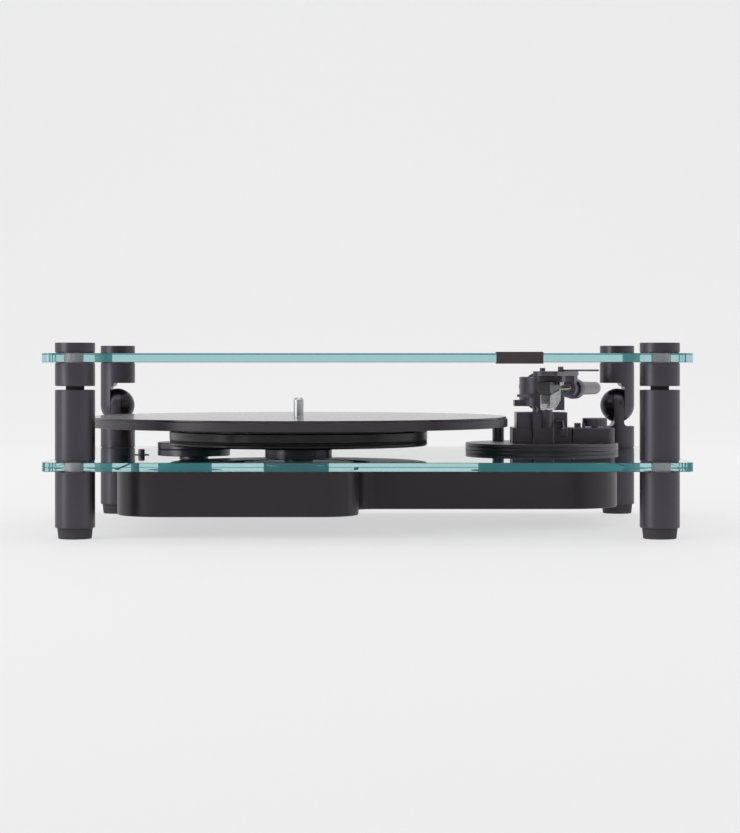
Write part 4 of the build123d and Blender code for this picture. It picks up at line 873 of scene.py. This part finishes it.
class OBJECT_OT_record_player_tonearm(bpy.types.Operator):
    """Finish the tonearm, its base, its lift and the cartridge"""
    bl_idname = "object.record_player_tonearm"
    bl_label = "Tonearm"

    def execute(self, context):
        settings = context.scene.player_arm
        dark = black_anodised()
        # Anodised aluminium, finely blasted: mid-grey and satin.
        satin = surface("aluminium_anodised_satin", settings.colour, 0.85, 0.34, grain=0.4, depth=0.005, shade=0.08)
        # Drawn tube, brushed and anodised: lighter, with a long soft highlight.
        tube = surface("aluminium_tube_satin", settings.tube_colour, 0.9, 0.32, grain=0.4, depth=0.005, shade=0.06)
        low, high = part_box("armboard")
        radius = (high.x - low.x) / 2
        centre = ((low.x + high.x) / 2, (low.y + high.y) / 2)
        seam, cut, half = (low.z + high.z) / 2, 0.35 * MM, 0.25 * MM
        profile = [
            (0, low.z), (radius, low.z), (radius, seam - half), (radius - cut, seam),
            (radius, seam + half), (radius, high.z), (0, high.z),
        ]
        board = turn(profile, centre, 192, False, 0.3 * MM)
        piece(board, "turned_armboard", "base", dark, ("armboard",))
        low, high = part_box("ground_terminal")
        radius = (high.x - low.x) / 2
        centre = ((low.x + high.x) / 2, (low.y + high.y) / 2)
        profile = [(0, low.z), (radius, low.z), (radius, high.z), (0, high.z)]
        terminal = turn(profile, centre, 64, False, 0.6 * MM)
        piece(terminal, "turned_ground_terminal", "base", dark, ("ground_terminal",))
        for node in ("arm_base", "lift_body", "arm_rest", "side_box", "anti_skate_knob", "cue_lever"):
            coat(node, dark)
        for node in ("bearing_yoke", "arm_block", "lift_platform"):
            coat(node, satin)
        coat("pivot_screws", zinc_plated())
        place = head_place()
        axis = place @ Vector((0, 0, TUBE_HEIGHT * MM))
        back = (place.to_3x3() @ Vector((-1, 0, 0))).normalized()
        piece(swept_tube(axis, back), "drawn_arm_tube", "arm", tube, ("arm_tube",))
        bore, radius, length = 4.44 * MM, COLLAR_RADIUS, 7.5 * MM
        profile = [
            (bore, 0), (radius, 0), (radius, 2.6 * MM), (radius - 0.35 * MM, 2.9 * MM), (radius, 3.2 * MM),
            (radius, length), (bore, length),
        ]
        ring = turn(profile, axis + back * COLLAR_BACK * MM, 96, True, 0.3 * MM, back)
        piece(ring, "turned_headshell_collar", "locking_collar", satin, ("headshell_collar",))
        piece(headshell_mesh(place), "bent_headshell", "arm", satin, ("headshell",))
        # Moulded ABS: black, with a soft shine.
        moulded = surface("abs_moulded_black", "#262529", 0.0, 0.3, grain=0.5, depth=0.006, shade=0.08)
        piece(cartridge_mesh(place), "moulded_cartridge", "arm", moulded, ("cartridge",))
        heads, nuts = [], []
        for side in (-1, 1):
            # The right screw also clamps the finger lift, so its head is higher.
            foot = 111.3 if side > 0 else 110.4
            top, socket_floor = foot + 2.2, foot + 1.0
            spot = place @ Vector((-9.5 * MM, side * SCREW_REACH, 0))
            head = [(0, foot), (1.85, foot), (1.85, top), (1.0, top), (1.0, socket_floor), (0, socket_floor)]
            heads.append(turn([(r * MM, z * MM) for r, z in head], spot, 32, False, 0.15 * MM))
            nut = [(0, 101.0), (1.2, 101.0), (1.2, 101.3), (1.95, 101.3), (1.95, 103.38), (0, 103.38)]
            nuts.append(turn([(r * MM, z * MM) for r, z in nut], spot, 32, False, 0.2 * MM))
        piece(join(*heads), "turned_screw_heads", "arm", dark, ("cartridge_screws",))
        piece(join(*nuts), "turned_screw_nuts", "arm", ground_steel(), ("cartridge_screws",))
        # Clear polystyrene: only its edges catch the light.
        guard = surface(
            "polystyrene_moulded_clear", settings.guard_colour, 0.0, 0.04,
            grain=1.5, depth=0.002, spread=0.02, shade=0.02, **{"Transmission Weight": 1.0, "IOR": 1.49},
        )
        piece(guard_mesh(place), "moulded_stylus_guard", "guard", guard, ("stylus_guard",), 25.0)
        # Painted highlight: a thin near-white line along each cheek's edge, in a frosted version of the same plastic,
        # stands in for the light its edges catch.
        painted_edge_highlight = surface(
            "polystyrene_frosted_bead", "#f4f5f6", 0.0, 0.3,
            grain=0.8, depth=0.002, shade=0.02, **{"Transmission Weight": 0.25, "IOR": 1.49},
        )
        highlight_line = {"radius": 0.32, "kind": "POLY", "body": "guard", "node": "stylus_guard", "slot": "guard_clear"}
        for name, side in (("guard_highlight_left", -3.45), ("guard_highlight_right", 3.45)):
            wire(place, name, painted_edge_highlight, [(x, side, z) for x, z in GUARD_CHEEK], **highlight_line)
        lead = {"radius": 0.42, "kind": "NURBS", "body": "arm", "node": "cartridge_leads", "slot": "lead_wire"}
        for label, colour, across, up in LEADS:
            # Soft extruded vinyl over stranded wire: satin and evenly coloured.
            vinyl = surface("vinyl_extruded_" + label, colour, 0.0, 0.35, grain=0.4, depth=0.003, shade=0.05)
            route = [
                (-16.6, across, 97.3 + up), (-20, 1.6 * across, 97.0 + up), (-25.5, 3.0 * across, 95.6 + 1.8 * up),
                (-36.4, 3.2 * across, 95.6 + 2.0 * up), (-41, 2.0 * across, 97.6 + 1.2 * up),
                (-44.8, across, TUBE_HEIGHT + up),
            ]
            wire(place, "lead_" + label, vinyl, route, **lead)
        rear = Vector(NEEDLE_TO_PIVOT).normalized()
        low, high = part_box("counterweight")
        radius = (high.z - low.z) / 2
        bore, length = 4.04 * MM, 24 * MM
        pivot = Vector((*PIVOT, (low.z + high.z) / 2))
        profile = [
            (bore, 0), (radius, 0), (radius, 4.6 * MM), (radius - 0.5 * MM, 5.0 * MM), (radius, 5.4 * MM),
            (radius, length), (bore, length),
        ]
        # The weight's front face is as far behind the pivot as the weight is long.
        weight = turn(profile, pivot + rear * length, 128, True, 0.7 * MM, rear)
        piece(weight, "turned_counterweight", "weight", satin, ("counterweight",))
        return {"FINISHED"}


# ---- studio
def soft_light(name, size, place, target, power):
    """A large rectangular light that faces a point."""
    data = bpy.data.lights.new(name, "AREA")
    data.shape = "RECTANGLE"
    data.size, data.size_y = size
    data.energy = power
    lamp = bpy.data.objects.new(name, data)
    lamp.location = place
    lamp.rotation_euler = (Vector(target) - Vector(place)).to_track_quat("-Z", "Y").to_euler()
    bpy.context.scene.collection.objects.link(lamp)


class OBJECT_OT_record_player_studio(bpy.types.Operator):
    """Set up the opal sweep, the lights and the camera"""
    bl_idname = "object.record_player_studio"
    bl_label = "Studio"

    def execute(self, context):
        settings = context.scene.player_studio
        scene = context.scene
        # Half the sweep's width, how far it runs forwards and back, the wall's height and the bend between them.
        half, forwards, behind, tall, bend = 8.0, -9.0, 2.6, 3.2, 1.1
        bm = bmesh.new()
        front = [bm.verts.new((x, forwards, 0)) for x in (-half, half)]
        back = [bm.verts.new((x, behind, 0)) for x in (half, -half)]
        floor = bm.faces.new(front + back)
        hinge = next(e for e in floor.edges if all(v.co.y > 0 for v in e.verts))
        made = bmesh.ops.extrude_edge_only(bm, edges=[hinge])["geom"]
        bmesh.ops.translate(bm, vec=(0, 0, tall), verts=[v for v in made if isinstance(v, bmesh.types.BMVert)])
        fold = [e for e in bm.edges if len(e.link_faces) == 2]
        bmesh.ops.bevel(
            bm, geom=fold, offset=bend, offset_type="OFFSET", segments=32, profile=0.5, affect="EDGES", material=-1,
        )
        for face in bm.faces:
            face.smooth = True
        mesh = bpy.data.meshes.new("acrylic_sweep")
        bm.to_mesh(mesh)
        bm.free()
        mesh.materials.append(lit_table("acrylic_opal_lit", settings.table, settings.glow))
        sweep = bpy.data.objects.new("acrylic_sweep", mesh)
        scene.collection.objects.link(sweep)
        world = bpy.data.worlds.new("studio_air")
        world.use_nodes = True
        air = world.node_tree
        where = add(air, "ShaderNodeTexCoord", {})
        split = add(air, "ShaderNodeSeparateXYZ", {}, [("Vector", where.outputs["Generated"])])
        # The studio is dark at the front, where nobody has put a reflector, and pale all round behind.
        fade = {
            "interpolation_type": "SMOOTHSTEP", "From Min": -0.9, "From Max": -0.1,
            "To Min": settings.front, "To Max": settings.world,
        }
        dim = add(air, "ShaderNodeMapRange", fade, [("Value", split.outputs["Y"])])
        background = air.nodes["Background"]
        background.inputs["Color"].default_value = linear("#ffffff")
        air.links.new(dim.outputs["Result"], background.inputs["Strength"])
        scene.world = world
        soft_light("key_left", (0.9, 1.6), (-1.75, -1.0, 0.75), (0.0, 0.0, 0.05), settings.key)
        soft_light("overhead", (3.0, 1.6), (0.0, -1.1, 2.1), (0.0, 0.0, 0.0), settings.overhead)
        soft_light("wall_wash", (3.0, 0.8), (0.0, 0.9, 2.6), (0.0, 2.6, 0.7), settings.wash)
        data = bpy.data.cameras.new("front")
        data.sensor_fit = "VERTICAL"
        data.sensor_height = 36.0
        data.lens = settings.lens
        # A small shift places the player in the frame while the camera stays level.
        data.shift_x = 0.0031
        data.shift_y = -0.063
        eye_height = 0.1152
        camera = bpy.data.objects.new("front", data)
        camera.location = (0.0, -settings.distance, eye_height)
        camera.rotation_euler = (math.pi / 2, 0.0, 0.0)
        scene.collection.objects.link(camera)
        scene.camera = camera
        scene.view_settings.view_transform = "Standard"
        return {"FINISHED"}


class VIEW3D_PT_record_player(bpy.types.Panel):
    """Lists the steps and their settings in the sidebar"""
    bl_idname = "VIEW3D_PT_record_player"
    bl_label = "Record player"
    bl_space_type = "VIEW_3D"
    bl_region_type = "UI"
    bl_category = "Record player"

    def draw(self, context):
        layout = self.layout
        for holder, operators in STEPS:
            box = layout.box()
            group = getattr(context.scene, holder)
            for field in group.bl_rna.properties.keys():
                if field not in ("rna_type", "name"):
                    box.prop(group, field)
            for operator in operators:
                box.operator(operator.bl_idname)


STEPS = (
    ("player_studio", (OBJECT_OT_record_player_studio,)),
    ("player_posts", (OBJECT_OT_record_player_posts, OBJECT_OT_record_player_hinges)),
    ("player_glass", (OBJECT_OT_record_player_glass,)),
    ("player_housing", (OBJECT_OT_record_player_housing,)),
    ("player_platter", (OBJECT_OT_record_player_platter,)),
    ("player_arm", (OBJECT_OT_record_player_tonearm,)),
)
GROUPS = {
    "player_studio": StudioSettings, "player_posts": PostSettings, "player_glass": GlassSettings,
    "player_housing": HousingSettings, "player_platter": PlatterSettings, "player_arm": ArmSettings,
}
OPERATORS = tuple(operator for _, operators in STEPS for operator in operators)
CLASSES = (*GROUPS.values(), *OPERATORS, VIEW3D_PT_record_player)


def register():
    for cls in CLASSES:
        bpy.utils.register_class(cls)
    for holder, group in GROUPS.items():
        setattr(bpy.types.Scene, holder, PointerProperty(type=group))


def unregister():
    for holder in GROUPS:
        delattr(bpy.types.Scene, holder)
    for cls in reversed(CLASSES):
        bpy.utils.unregister_class(cls)


def main():
    register()
    for operator in OPERATORS:
        space, name = operator.bl_idname.split(".")
        getattr(getattr(bpy.ops, space), name)()


if __name__ == "__main__":
    main()
